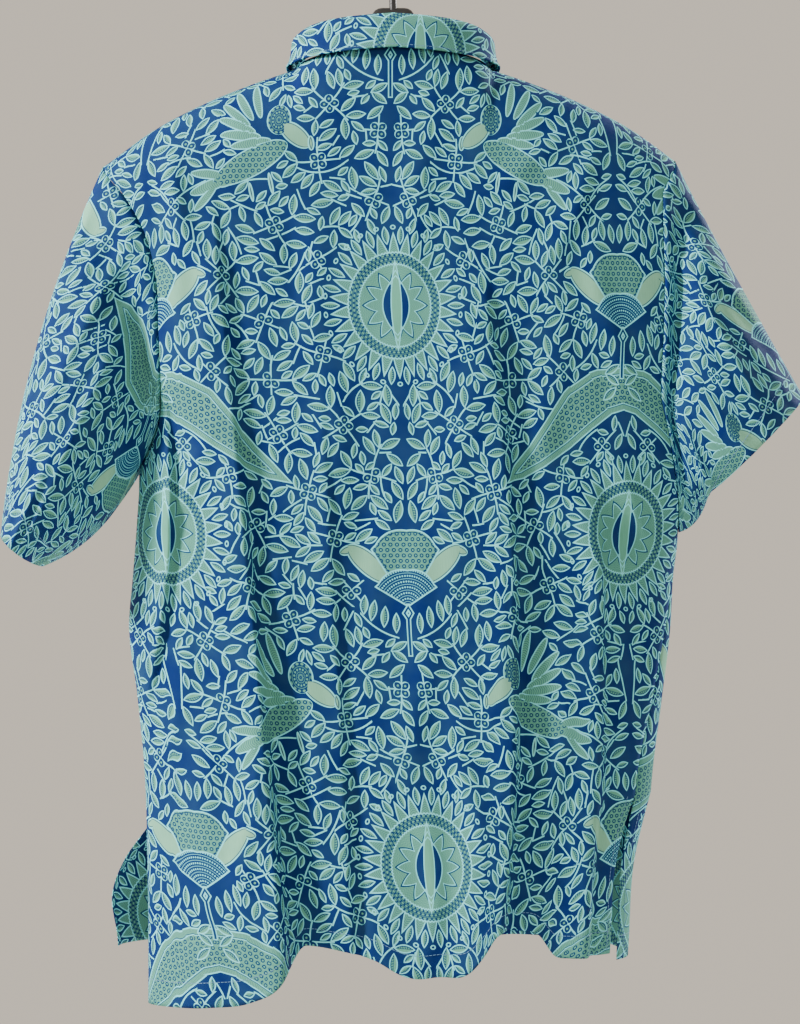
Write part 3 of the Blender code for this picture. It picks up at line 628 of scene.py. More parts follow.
def print_cloth(data, flat):
    """Gives each face corner its place on the nearest petals, stems and motifs of the print."""
    faces = len(data.polygons)
    corner_vertex = np.zeros(faces * 4, int)
    data.loops.foreach_get("vertex_index", corner_vertex)
    corners = flat.reshape(-1, 2)[corner_vertex].reshape(faces, 4, 2)
    middle = corners.mean(axis=1)
    turn = np.floor((middle[:, 0] + HALF_REPEAT) / (2 * HALF_REPEAT)) * 2 * HALF_REPEAT
    way = np.where(middle[:, 0] - turn < 0, -1.0, 1.0)
    lower = np.floor((middle[:, 1] - SUN_DROP) / REPEAT) * REPEAT + SUN_DROP
    x = (corners[..., 0] - turn[:, None]) * way[:, None]
    y = corners[..., 1] - lower[:, None]
    column = np.clip((x.mean(axis=1) / CELL).astype(int), 0, cells_across - 1)
    row = np.clip((y.mean(axis=1) / CELL).astype(int), 0, cells_down - 1)
    cell = row * cells_across + column
    places = np.stack([x, y], axis=-1)
    values = {}
    for name, order in (("leaf_a", 0), ("leaf_b", 1)):
        petals = all_petals[petals_by_cell[cell, order]][:, None, :]
        along, across = petal_place(places, petals)
        code = np.broadcast_to(petals[..., 5] + 20 * petals[..., 6], along.shape)
        values[name] = np.stack([along, across, code], axis=-1)
    lines = []
    for order in (0, 1):
        stems = all_stems[stems_by_cell[cell, order]][:, None, :]
        step = stems[..., 2:] - stems[..., :2]
        off = places - stems[..., :2]
        away = (off[..., 0] * step[..., 1] - off[..., 1] * step[..., 0]) / np.linalg.norm(step, axis=-1)
        reach = stem_distance(places.mean(axis=1, keepdims=True), stems)
        lines.append(np.where(reach < STEM_REACH, away, NO_STEM))
    values["vine"] = np.stack(lines + [np.zeros_like(lines[0])], axis=-1)
    centre = places.mean(axis=1)
    gap = np.linalg.norm(centre[:, None, :] - motifs[None, :, :2], axis=-1)
    motif = motifs[gap.argmin(axis=1)][:, None, :]
    kind = np.where(gap.min(axis=1)[:, None] < MOTIF_REACH, motif[..., 2], 0)
    values["motif"] = np.concatenate([places - motif[..., :2],
                                      np.broadcast_to(kind[..., None], x.shape + (1,))], axis=-1)
    gap = np.linalg.norm(centre[:, None, :] - wing_line[None, :, :2], axis=-1)
    station = np.clip(gap.argmin(axis=1), 1, len(wing_line) - 2)
    step = wing_line[station + 1] - wing_line[station - 1]
    length = np.linalg.norm(step[:, :2], axis=1)[:, None]
    off = places - wing_line[station][:, None, :2]
    along = (off[..., 0] * step[:, None, 0] + off[..., 1] * step[:, None, 1]) / length
    across = (off[..., 1] * step[:, None, 0] - off[..., 0] * step[:, None, 1]) / length
    half = wing_line[station][:, None, 2] + along * step[:, None, 2] / length
    half = np.where(gap.min(axis=1)[:, None] < WING_REACH, half, -5.0)
    values["wing"] = np.stack([along + station[:, None] * 2.4, across, half], axis=-1)
    rich = (kind[:, 0] > 0.5) | (half.max(axis=1) > -1)
    for order in (0, 1):
        petal_kind = all_petals[petals_by_cell[cell, order], 6]
        rich |= (petal_kind != LEAF) & (petal_kind != RING)
    data.polygons.foreach_set("material_index", rich.astype(np.int32))
    for name, value in values.items():
        layer = data.attributes.new(name, "FLOAT_VECTOR", "CORNER")
        layer.data.foreach_set("vector", np.ascontiguousarray(value, dtype=np.float32).ravel())
    weave = data.uv_layers.new(name="weave")
    weave.data.foreach_set("uv", np.ascontiguousarray(corners / 100, dtype=np.float32).ravel())


def sheet_of(name, grid, flat, outward, shell=SHELL, welded=False):
    """A thin shell of printed cloth on a grid of points, its outer face where the points are."""
    rows, columns = grid.shape[:2]
    mesh = bmesh.new()
    bmesh.ops.create_grid(mesh, x_segments=columns - 1, y_segments=rows - 1, size=0.5)
    mesh.verts.ensure_lookup_table()
    for vertex, point in zip(mesh.verts, grid.reshape(-1, 3) * MM):
        vertex.co = point
    row, column = rows // 2, columns // 2
    across = grid[row, column + 1] - grid[row, column]
    down = grid[row + 1, column] - grid[row, column]
    if np.dot(np.cross(across, down), outward) < 0:
        bmesh.ops.reverse_faces(mesh, faces=mesh.faces)
    data = bpy.data.meshes.new(name)
    mesh.to_mesh(data)
    mesh.free()
    print_cloth(data, flat)
    if welded:
        mesh = bmesh.new()
        mesh.from_mesh(data)
        bmesh.ops.remove_doubles(mesh, verts=mesh.verts, dist=1e-6)
        mesh.to_mesh(data)
        mesh.free()
    data.shade_smooth()
    piece = bpy.data.objects.new(name, data)
    bpy.context.scene.collection.objects.link(piece)
    thickness = piece.modifiers.new("thickness", "SOLIDIFY")
    thickness.thickness = shell * MM
    thickness.offset = -1
    data.materials.append(leafy_cotton)
    data.materials.append(figured_cotton)
    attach(piece, "root")
    return piece


class Dye:
    """A shader socket that stands in sums; any other node comes from its one method."""

    def __init__(self, socket):
        self.socket = socket

    def node(self, kind, settings, values, output=0):
        tree = self.socket.id_data
        made = tree.nodes.new(kind)
        for name, value in settings.items():
            setattr(made, name, value)
        for place, value in values.items():
            if isinstance(value, Dye):
                tree.links.new(value.socket, made.inputs[place])
            else:
                made.inputs[place].default_value = value
        return Dye(made.outputs[output])

    def maths(self, operation, first, second=0.0, third=0.0):
        return self.node("ShaderNodeMath", {"operation": operation}, {0: first, 1: second, 2: third})

    def __add__(self, other):
        return self.maths("ADD", self, other)

    def __sub__(self, other):
        return self.maths("SUBTRACT", self, other)

    def __rsub__(self, other):
        return self.maths("SUBTRACT", other, self)

    def __mul__(self, other):
        return self.maths("MULTIPLY", self, other)

    def __truediv__(self, other):
        return self.maths("DIVIDE", self, other)

    def __pow__(self, other):
        return self.maths("POWER", self, other)

    def __abs__(self):
        return self.maths("ABSOLUTE", self)

    __radd__ = __add__
    __rmul__ = __mul__

    def least(self, other):
        return self.maths("MINIMUM", self, other)

    def most(self, other):
        return self.maths("MAXIMUM", self, other)

    def wave(self, turns=1.0):
        """Sine of the value."""
        return self.maths("SINE", self * turns)

    def part(self):
        """What is left above the whole number."""
        return self.maths("FRACT", self)

    def whole(self):
        return self.maths("FLOOR", self)

    def span(self, other):
        """Length of the side opposite the right angle between this and the other."""
        return self.maths("SQRT", self * self + other * other)

    def below(self, edge, soft=0.35):
        """1 where the value is less than the edge, falling to 0 over a soft width."""
        return self.node("ShaderNodeMapRange", {}, {0: self - edge, 1: soft / 2, 2: -soft / 2})

    def line(self, place, half, soft=0.35):
        """1 where the value is within half a line's width of a place."""
        return abs(self - place).below(half, soft)

    def over(self, mask, colour):
        """This colour with another laid over it where the mask is 1."""
        return self.node("ShaderNodeMix", {"data_type": "RGBA"}, {0: mask, 6: self, 7: colour}, output=2)


def attribute(tree, name):
    """The three numbers of a vector that the cloth's corners hold."""
    node = tree.nodes.new("ShaderNodeAttribute")
    node.attribute_name = name
    split = tree.nodes.new("ShaderNodeSeparateXYZ")
    tree.links.new(node.outputs["Vector"], split.inputs[0])
    return [Dye(socket) for socket in split.outputs]


GROUND = (0.0001, 0.015, 0.100, 1)      # deep indigo blue
SAGE = (0.098, 0.320, 0.235, 1)         # first dye left under the wax
MINT = (0.175, 0.650, 0.720, 1)         # wax-drawn outlines
PALE = (0.190, 0.420, 0.290, 1)         # plain lobes


def scale_figure(x, y):
    """Rows of dotted scales, each row set half a scale from the last: how much sage shows."""
    row = (y / 4.4).whole()
    across = ((x / 5.2 + row * 0.5).part() - 0.5) * 5.2
    down = ((y / 4.4).part() - 0.42) * 4.4
    away = across.span(down)
    return 1 - away.below(1.75) + away.below(0.75) + away.line(2.35, 0.2) * -0.35


def dotted_rows(radius, turn, pitch, dots):
    """Rings of small dots with a thin line between them."""
    ring = radius / pitch
    out = (ring.part() - 0.5) * pitch
    along = ((turn * dots + ring.whole() * 0.5).part() - 0.5) * 2.4
    return along.span(out).below(0.72, 0.5).most((0.5 * pitch - abs(out)).below(0.28, 0.3) * 0.55)


def inked(share, ink=SAGE):
    """The ground's blue with an ink over a share of it."""
    return share.node("ShaderNodeMix", {"data_type": "RGBA"}, {0: share, 6: GROUND, 7: ink}, output=2)


def cotton(title, full):
    """Printed cotton: the full figure draws the large motifs too, the other only leaves and flowers."""
    cloth = bpy.data.materials.new(title)
    cloth.use_nodes = True
    tree = cloth.node_tree
    shader = tree.nodes["Principled BSDF"]
    vines = attribute(tree, "vine")[:2]
    colour = vines[0].node("ShaderNodeRGB", {}, {})
    colour.socket.default_value = GROUND
    for away in vines:
        colour = colour.over(abs(away).below(0.56), MINT)
    if full:
        cloth_x, cloth_y, motif_kind = attribute(tree, "motif")
        scales = scale_figure(cloth_x, cloth_y)

        # Wing bands: hatched borders either side of dotted scales.
        along, across, half = attribute(tree, "wing")
        inset = half - abs(across)
        hatch = (along / 1.35 + across * 0.12).part().line(0.5, 0.16, 0.2)
        fill = inset.below(5.2).most(scale_figure(along, across)) - hatch * inset.below(4.6) * 0.6
        fill = fill * (1 - inset.line(5.2, 0.4) * 0.9)
        colour = colour.over((0.0 - inset).below(0.0), inked(fill))
        colour = colour.over(inset.line(0.5, 0.5).most(inset.line(5.9, 0.35)) * (0.0 - half).below(0.5), MINT)

    # Petals: leaves, plain lobes, ringed flower petals, hatched feathers, scales and dots.
    for name in ("leaf_b", "leaf_a"):
        along, across, code = attribute(tree, name)
        kind = (code / 20).whole()
        width = code - kind * 20

        def is_kind(number):
            return kind.maths("COMPARE", kind, float(number), 0.4)

        edge = (1 - along * along).most(0.0) ** (0.5 + 0.5 * is_kind(LEAF))
        inset = (edge - abs(across)) * width - (abs(along) - 1).most(0.0) * 12
        one_side = (0.0 - across).below(0.0, 0.12)
        ticks = (along * 4.6 + abs(across) * 0.7).part().line(0.5, 0.26, 0.25)
        vein = abs(across).below(0.10, 0.12)
        leaf = 1 - one_side * inset.line(1.35, 0.38, 0.3) - one_side * ticks * 0.72 - vein * 0.55
        bud = along.span(across)
        fill = is_kind(LEAF) * leaf + is_kind(RING) * bud.below(0.26, 0.12)
        if full:
            feather = 1 - (along * 9 + abs(across)).part().line(0.5, 0.17, 0.2) * 0.62
            dots = dotted_rows(bud * width, along.maths("ARCTAN2", across, along) / math.tau, 3.4, 14.0)
            lobe = is_kind(PLAIN) * (1 - inset.line(1.6, 0.34, 0.3))
            fill = (fill + lobe + is_kind(FEATHER) * feather + is_kind(SCALES) * scales
                    + is_kind(DOTS) * dots)
        filled = inked(fill)
        if full:
            filled = filled.over(lobe * 0.8, PALE)
        colour = colour.over((0.0 - inset).below(0.0, 0.3), filled)
        colour = colour.over(inset.line(0.45, 0.5, 0.4), MINT)

    if full:
        # Sun: a scalloped ring of dots round a halved disc, with rays and curls outside.
        is_sun = motif_kind.line(1.0, 0.4, 0.1)
        e_x, e_y = cloth_x / SUN_ACROSS, cloth_y / SUN_DOWN
        reach = e_x.span(e_y)
        turn = reach.maths("ARCTAN2", e_y, e_x) / math.tau
        ray = 0.5 - abs((turn * RAYS + 0.5).part() - 0.5)
        ray_inset = ((1.40 - reach) * 1.25 - ray) * 9.6
        on_ray = is_sun * (1.0 - reach).below(0.0, 0.02) * (0.0 - ray_inset).below(0.0)
        hatch = (reach * 24 + ray * 4).part().line(0.5, 0.2, 0.2)
        colour = colour.over(on_ray, inked(0.92 - hatch * 0.5))
        colour = colour.over(on_ray * ray_inset.below(0.85), MINT)
        curl = (ray * 10.5).span((reach - 1.49) * 40)
        colour = colour.over(is_sun * curl.line(1.35, 0.42), MINT)
        edge = reach - 0.022 * abs((turn * 84).wave(math.tau / 2))
        ring = dotted_rows((reach - 0.79) * 40, turn, 2.8, 60.0)
        disc = (reach * 21 + (turn * 31).wave(math.tau)).part().line(0.5, 0.22, 0.2)
        zigzag = (reach - 0.46 - 0.5 * abs((turn * 12).part() - 0.5)) * 30
        disc_fill = (0.95 - disc * 0.35) * (1 - zigzag.line(0.0, 0.62))
        inside = edge.below(0.775, 0.02)
        fill = inside * disc_fill + (1 - inside) * ring
        eye = 11.5 * (1 - (cloth_y * cloth_y) / 620) - abs(cloth_x)
        spindle = 4.6 * (1 - (cloth_y * cloth_y) / 1400) - abs(cloth_x)
        eye_on, spindle_on = (0.0 - eye).below(0.0), (0.0 - spindle).below(0.0)
        fill = fill * (1 - eye_on) + spindle_on - fill * (1 - eye_on) * spindle_on
        on_sun = is_sun * edge.below(1.0, 0.02)
        colour = colour.over(on_sun, inked(fill))
        outlines = (eye.line(0.4, 0.45).most(spindle.line(0.3, 0.4)).most(edge.line(0.775, 0.013, 0.012))
                    .most(zigzag.line(-1.2, 0.42) * inside))
        colour = colour.over(on_sun * outlines, MINT)
        colour = colour.over(is_sun * edge.line(0.995, 0.014, 0.012), MINT)

        # Crown: a scaled dome behind a dotted fan, on a stem with a bud.
        is_crown = motif_kind.line(2.0, 0.4, 0.1)
        dome_turn = reach.maths("ARCTAN2", cloth_x, -4.0 - cloth_y)
        dome = 32.5 + 1.6 * abs((dome_turn * 3.5).wave()) - cloth_x.span(cloth_y + 4)
        fan_out = cloth_x.span(cloth_y - 26)
        fan_turn = reach.maths("ARCTAN2", cloth_x, 26.0 - cloth_y)
        dome = dome.least((0.56 - abs(fan_turn)) * fan_out)
        colour = colour.over(is_crown * (0.0 - dome).below(0.0), inked(scales))
        colour = colour.over(is_crown * dome.line(2.4, 0.35), GROUND)
        colour = colour.over(is_crown * dome.line(0.6, 0.6), MINT)
        fan = (30.0 + 1.8 * abs((fan_turn * 3.5).wave()) - fan_out).least((1.02 - abs(fan_turn)) * fan_out)
        fan_rows = dotted_rows(fan_out, fan_turn * ((fan_out / 4.6).whole() + 0.5) * 4.6 / 2.1, 4.6, 1.0)
        colour = colour.over(is_crown * (0.0 - fan).below(0.0), inked(fan_rows, MINT))
        colour = colour.over(is_crown * fan.line(0.5, 0.6), MINT)
        bud = (1 - abs(cloth_x) / 5.2 - abs(cloth_y - 31) / 8) * 4
        stalk = (1.9 - abs(cloth_x)).least(66.0 - cloth_y).least(cloth_y - 33).most(bud)
        colour = colour.over(is_crown * (0.0 - stalk).below(0.0), GROUND)
        colour = colour.over(is_crown * stalk.line(0.4, 0.45).most(bud.line(2.9, 0.6)), MINT)

    # Cloth: the dye takes unevenly, single yarns are thicker or paler, and washing fades the whole.
    weave_map = tree.nodes.new("ShaderNodeUVMap")
    weave_map.uv_map = "weave"
    flat_place = Dye(weave_map.outputs["UV"])
    clouds = flat_place.node("ShaderNodeTexNoise", {}, {"Vector": flat_place, "Scale": 3.2, "Detail": 2.0})
    stretched = flat_place.node("ShaderNodeVectorMath", {"operation": "MULTIPLY"},
                                {0: flat_place, 1: (260.0, 9.0, 1.0)})
    slubs = flat_place.node("ShaderNodeTexNoise", {}, {"Vector": stretched, "Scale": 1.0, "Detail": 1.0})
    shade = 0.66 + clouds * 0.34 + slubs * 0.34
    grey = shade.node("ShaderNodeCombineXYZ", {}, {0: shade, 1: shade, 2: shade})
    worn = colour.node("ShaderNodeMix", {"data_type": "RGBA", "blend_type": "MULTIPLY"},
                       {0: 1.0, 6: colour, 7: grey}, output=2)
    faded = worn.over(clouds.below(0.42, 0.5) * 0.05, MINT)
    tree.links.new(faded.socket, shader.inputs["Base Color"])
    rough = 0.70 + slubs * 0.16
    tree.links.new(rough.socket, shader.inputs["Roughness"])
    split = tree.nodes.new("ShaderNodeSeparateXYZ")
    tree.links.new(flat_place.socket, split.inputs[0])
    warp, weft = Dye(split.outputs[0]) * 1300.0, Dye(split.outputs[1]) * 1300.0
    relief = warp.wave() * 0.5 + weft.wave() * 0.5
    bump = relief.node("ShaderNodeBump", {}, {"Strength": 0.35, "Distance": 0.00012, "Height": relief})
    tree.links.new(bump.socket, shader.inputs["Normal"])
    shader.inputs["Specular IOR Level"].default_value = 0.12
    return cloth


leafy_cotton = cotton("leafy_cotton", False)
figured_cotton = cotton("figured_cotton", True)

back_angles = even_angles(90, -90, COLUMNS + 1, False)
back_grid = panel_grid(back_angles, False, flare_right=BACK_RIGHT_FLARE)
back_flat = flat_cut(back_grid, COLUMNS // 2)
# The print wanders sideways down the panel, and runs narrower on one side of the middle.
PRINT_STRETCH = (1.08, 0.97)
Drift = namedtuple("Drift", "drop across")
PRINT_DRIFT = [Drift(0, 12), Drift(241, 12), Drift(454, 10), Drift(694, 28), Drift(815, 34)]
back_flat[..., 0] -= curve(PRINT_DRIFT, COLLAR_TOP - back_grid[..., 2], "across")
back_flat[..., 0] *= np.where(back_flat[..., 0] > 0, *PRINT_STRETCH)
back = sheet_of("back_cloth", back_grid, back_flat, (0, 1, 0))
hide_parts("back")

# Fronts. Two panels that pass each other at the centre line, the left one over the right. They
# share the back's side seams and shoulder seams, and hang with softer, fuller folds.
FRONT_LEFT_FLARE = [Flare(669, 0), Flare(695, 19), Flare(729, 30), Flare(757, 26), Flare(790, 24)]
FRONT_RIGHT_FLARE = [Flare(638, 0), Flare(698, 11), Flare(768, 14)]
FRONT_HEM = [
    HemPoint(-210, 774), HemPoint(-120, 766), HemPoint(0, 772), HemPoint(110, 764), HemPoint(235, 768),
]
FRONT_FOLDS = [
    Fold("ridge", 150, 800, 120, 125, 118, 44, 2, 14),
    Fold("ridge", 420, 800, 58, 66, 74, 34, 0, 8),
    Fold("ridge", 200, 800, -112, -104, -98, 48, 3, 13),
    Fold("ridge", 380, 800, -170, -160, -156, 36, 0, 9),
]
FRONT_CREASES = [
    Crease(150, 150, -24, 60, 9, 2.2), Crease(-152, 154, 22, 66, 9, 2.4), Crease(118, 112, -58, 42, 8, 1.4),
    Crease(-112, 116, 60, 40, 8, 1.4), Crease(190, 360, 34, 52, 9, 2.2), Crease(-196, 400, -30, 56, 9, 2.2),
    Crease(46, 260, -6, 90, 14, 1.8), Crease(-56, 300, 6, 110, 14, 2.0), Crease(92, 380, 5, 120, 13, 2.0),
    Crease(-130, 420, -5, 110, 13, 2.2), Crease(40, 520, 8, 100, 12, 2.0), Crease(-44, 600, -4, 110, 12, 2.4),
    Crease(160, 520, -6, 80, 11, 2.2), Crease(-180, 540, 5, 80, 11, 2.0), Crease(100, 640, 4, 90, 11, -1.8),
    Crease(-78, 690, 3, 80, 11, 2.4), Crease(70, 700, -5, 70, 10, 2.2), Crease(-140, 660, 8, 90, 12, -1.6),
]


def front_grid(first, last, count):
    angles = even_angles(first, last, count + 1, True)
    return panel_grid(angles, True, FRONT_LEFT_FLARE, FRONT_RIGHT_FLARE)


left_grid = front_grid(90, 180 + math.degrees(math.asin(OVERLAP / RIGHT_TIP)), 86)
right_last = -180 - math.degrees(math.asin((OVERLAP - 3) / LEFT_TIP))
right_grid = front_grid(-90, right_last, 84)
under_left = smooth((right_grid[:, :, 0] + 44) / 40)            # the right front dips under the left
right_grid[:, :, 1] += (WALL + 1.2) * under_left
for name, grid, shift in (("front_left", left_grid, 128.0), ("front_right", right_grid, 141.0)):
    flat = flat_cut(grid, 80) + (0.0, shift)
    piece = sheet_of(name + "_cloth", grid, flat, (0, -1, 0))
    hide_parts(name)

# Placket. A straight strip of the same cotton, folded and sewn on the left front's edge, a
# little stiffer than the panel it lies on.
PLACKET_HALF = 16.0
front_middle = np.array([[np.interp(0.0, row[::-1, 0], row[::-1, axis]) for axis in range(3)]
                         for row in left_grid])
lowest_y = np.where(np.abs(left_grid[:, :, 0] - 0.5) < PLACKET_HALF + 1, left_grid[:, :, 1], 0).min(axis=1)
window = np.ones(9) / 9
lowest_y = np.convolve(np.pad(lowest_y, 4, mode="edge"), window, mode="valid")
placket_columns = []
for side in np.linspace(-1, 1, 11):
    strip = front_middle.copy()
    strip[:, 0] = side * PLACKET_HALF - 0.5
    strip[:, 1] = lowest_y - SEAM_GAP - WALL - 0.2 + 0.9 * abs(side) ** 6
    placket_columns.append(strip)
placket_grid = np.swapaxes(np.array(placket_columns), 0, 1)
placket_grid[:, :, 2] = np.linspace(front_middle[0, 2] + 2, front_middle[-1, 2], len(placket_grid))[:, None]
placket = sheet_of("placket_cloth", placket_grid, flat_cut(placket_grid, 5) + (7.0, 128.0), (0, -1, 0), 1.1)
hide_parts("placket")

# Sleeves. Each is one piece sewn into a tube under the arm and set into the armhole. The left
# hangs and swings out at its wide hem; the right is flatter and lifted, with a short hem.
Sleeve = namedtuple("Sleeve", "side outer outer_drop under under_drop half_depth "
                    "swell_outer swell_under swell_down")
SLEEVES = {
    "sleeve_left": Sleeve(1, 323, 424, 290, 452, 60, 14, 8, 11),
    "sleeve_right": Sleeve(-1, 340, 312, 262, 391, 42, -2, -3, 6),
}
SLEEVE_SWELL_DEPTH = 10.0
ARMHOLE_DIP = 13.0          # the sleeve sinks just outside the armhole seam
DIP_PLACE = 0.14
DIP_WIDTH = 0.11
SLEEVE_ROWS = 46
SLEEVE_HALF_COLUMNS = 76
SleeveCrease = namedtuple("SleeveCrease", "turn share lean length width height")
SLEEVE_CREASES = {
    "sleeve_left": [
        SleeveCrease(30, 0.45, 20, 50, 9, 2.6), SleeveCrease(62, 0.5, -8, 60, 10, 3.2),
        SleeveCrease(98, 0.55, 12, 55, 10, 3.4), SleeveCrease(128, 0.6, -10, 50, 9, 3.0),
        SleeveCrease(150, 0.5, 26, 46, 9, 3.4), SleeveCrease(84, 0.86, 4, 36, 11, 2.6),
        SleeveCrease(-40, 0.5, 16, 56, 10, 2.8), SleeveCrease(-90, 0.6, -6, 60, 11, 3.2),
        SleeveCrease(-140, 0.5, 20, 50, 9, 3.0),
    ],
    "sleeve_right": [
        SleeveCrease(28, 0.5, -22, 52, 9, 2.4), SleeveCrease(70, 0.45, 10, 60, 10, 2.8),
        SleeveCrease(112, 0.55, -10, 56, 10, 3.0), SleeveCrease(146, 0.5, 24, 46, 9, 3.2),
        SleeveCrease(-48, 0.5, 12, 56, 10, 2.6), SleeveCrease(-100, 0.55, -8, 56, 11, 3.0),
        SleeveCrease(-146, 0.5, -20, 50, 9, 3.0),
    ],
}


def armhole_loop(side, count):
    """The armhole's points, from the shoulder down the back to the underarm and up the front."""
    xi, top, under, _, _ = column_at(90.0 * side, False)
    drops = top + (under - top) * (np.arange(count + 1) / count) ** CROWDING
    edges = []
    for front in (False, True):
        here = np.full(count + 1, 90.0 * side) + (0.2 if front else -0.2) * side
        flare = FRONT_LEFT_FLARE if front else None
        edges.append(body_point(here, drops, front, flare))
    loop = np.concatenate([edges[0], edges[1][count - 1:0:-1]])
    loop[0, 1] = 0
    loop[count, 1] = 0
    return loop


def sleeve_grid(name):
    size = SLEEVES[name]
    count = SLEEVE_HALF_COLUMNS
    loop = armhole_loop(size.side, count)
    loop[:, 0] += size.side * (SEAM_GAP + 0.2)
    turn = np.radians(180.0 * np.arange(2 * count) / count)
    outer = np.array([size.side * size.outer, 0, COLLAR_TOP - size.outer_drop])
    under = np.array([size.side * size.under, 0, COLLAR_TOP - size.under_drop])
    hem = ((outer + under) / 2 + np.outer(np.cos(turn), (outer - under) / 2)
           + np.outer(np.sin(turn), (0, size.half_depth, 0)))
    top_share = (1 + np.cos(turn))[:, None] / 2
    swell = (top_share * np.array([size.side * size.swell_outer, 0, 0])
             + (1 - top_share) * np.array([-size.side * size.swell_under, 0, -size.swell_down])
             + np.outer(np.sin(turn), (0, SLEEVE_SWELL_DEPTH, 0)))
    dip = np.outer(np.sin(turn), (0, ARMHOLE_DIP, 0))
    rows = []
    for share in np.linspace(0, 1, SLEEVE_ROWS + 1):
        sink = math.exp(-((share - DIP_PLACE) / DIP_WIDTH) ** 2) * smooth(share / DIP_PLACE)
        rows.append(loop + (hem - loop) * share + swell * 4 * share * (1 - share) - dip * sink)
    grid = np.roll(np.array(rows), count, axis=1)               # the seam runs under the arm
    grid = np.concatenate([grid, grid[:, :1]], axis=1)
    degrees = np.degrees(np.roll(turn, count))
    degrees = np.append(degrees, degrees[0])
    degrees = np.where(degrees > 180, degrees - 360, degrees)
    shares = np.linspace(0, 1, SLEEVE_ROWS + 1)[:, None]
    lift = np.zeros(grid.shape[:2])
    for crease in SLEEVE_CREASES[name]:
        lean = math.radians(crease.lean)
        off_turn, off_share = (degrees[None, :] - crease.turn) * 1.5, (shares - crease.share) * 130
        along = off_turn * math.sin(lean) + off_share * math.cos(lean)
        across = off_turn * math.cos(lean) - off_share * math.sin(lean)
        lift += crease.height * np.exp(-(across / crease.width) ** 2 - (along / crease.length) ** 2)
    lift += 0.5 * np.sin(np.radians(degrees)[None, :] * 17 + shares * 9)
    fade = smooth(shares / 0.12)
    grid[..., 1] += np.sign(grid[..., 1]) * lift * fade * np.minimum(np.abs(grid[..., 1]) / 12, 1)
    return grid


sleeve_grids = {}
for name, start, way, shift in (("sleeve_left", 255.0, -1, 14.0), ("sleeve_right", 62.0, 1, -14.0)):
    grid = sleeve_grid(name)
    flat = flat_cut(grid, SLEEVE_HALF_COLUMNS)
    flat[..., 1] = SUN_DROP + start + way * (flat[..., 1] - flat[0, SLEEVE_HALF_COLUMNS, 1])
    ring = grid[SLEEVE_ROWS // 2]
    outward = ring[SLEEVE_HALF_COLUMNS] - ring.mean(axis=0)
    piece = sheet_of(name + "_cloth", grid, flat + (shift, 0), outward, welded=True)
    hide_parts(name)
    sleeve_grids[name] = grid

# Collar. A stand of two layers sewn to the neckline, its ends passing each other at the front,
# and a fall turned down over it: both stiffened, so they hold a smooth curve.
CollarPoint = namedtuple("CollarPoint", "degrees fold edge spread")
COLLAR = [
    CollarPoint(0, 0, 29, 8), CollarPoint(40, 4, 33, 8), CollarPoint(70, 10, 37, 8),
    CollarPoint(90, 16, 39, 9), CollarPoint(105, 27, 45, 9), CollarPoint(120, 42, 66, 9),
    CollarPoint(135, 55, 100, 9), CollarPoint(150, 66, 126, 9), CollarPoint(180, 76, 142, 8),
]
STAND_LEAN = 3.0            # the stand leans in towards its top
FALL_REACH = 0.84           # the fall's lower edge spans less of the neck than its fold
FALL_CLEAR = 2.4            # how far the fall lies off the panels
COLLAR_END = 174.0


def neck_point(degrees, lift, lean, spread=0.0):
    """A point above or below the neckline; degrees run from the centre back, left positive."""
    turn = np.radians(degrees)
    c = np.cos(turn)
    drop = NECK_DROP + np.where(c > 0, -NECK_RISE_BACK, NECK_FALL_FRONT) * np.abs(c) + lift
    reach = np.where(c > 0, NECK_BACK, NECK_FRONT)
    out = np.stack([np.sin(turn) * (NECK_HALF + spread - lean), c * (reach + spread - lean)], axis=-1)
    return out, drop


def clear_of_body(points):
    """Push the collar's fall out until it lies over the panels instead of in them."""
    moved = points.copy()
    for front in (False, True):
        here = points[:, 1] < 0 if front else points[:, 1] >= 0
        x, drop = points[here, 0], COLLAR_TOP - points[here, 2]
        angle = np.degrees(np.arcsin(x / np.where(x > 0, LEFT_TIP, RIGHT_TIP)))
        angle = np.copysign(180, x) - angle if front else angle
        limit = np.abs(body_point(angle, drop, front)[..., 1]) + WALL + FALL_CLEAR
        over = smooth((drop - top_drop(x, front) + 9) / 12)
        depth = np.abs(points[here, 1])
        moved[here, 1] = (-1 if front else 1) * (depth + np.maximum(limit - depth, 0) * over)
    return moved


ends = np.concatenate([np.linspace(-191, -165, 12)[:-1], np.linspace(-165, 165, 126),
                       np.linspace(165, 190, 12)[1:]])
flat_ring, ring_drop = neck_point(ends, -1.6, 0.0)
top_ring, _ = neck_point(ends, 0, STAND_LEAN)
stand_fold = curve(COLLAR, np.abs(ends), "fold", key="degrees")
tuck = smooth((-ends - 150) / 25) * 2 * (WALL + SEAM_GAP)        # the right end passes inside
stand_rows = []
for share in np.linspace(0, 1, 14):
    place = flat_ring + (top_ring - flat_ring) * share
    drop = ring_drop + (stand_fold + 2.0 - ring_drop) * share
    stand_rows.append(np.stack([place[:, 0], place[:, 1] + tuck, COLLAR_TOP - drop], axis=-1))
stand_grid = np.array(stand_rows)
stand_flat = flat_cut(stand_grid, len(ends) // 2) + (0.0, 200.0)
stand = sheet_of("collar_stand_cloth", stand_grid, stand_flat, (0, 1, 0), 1.2)
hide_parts("collar_stand")

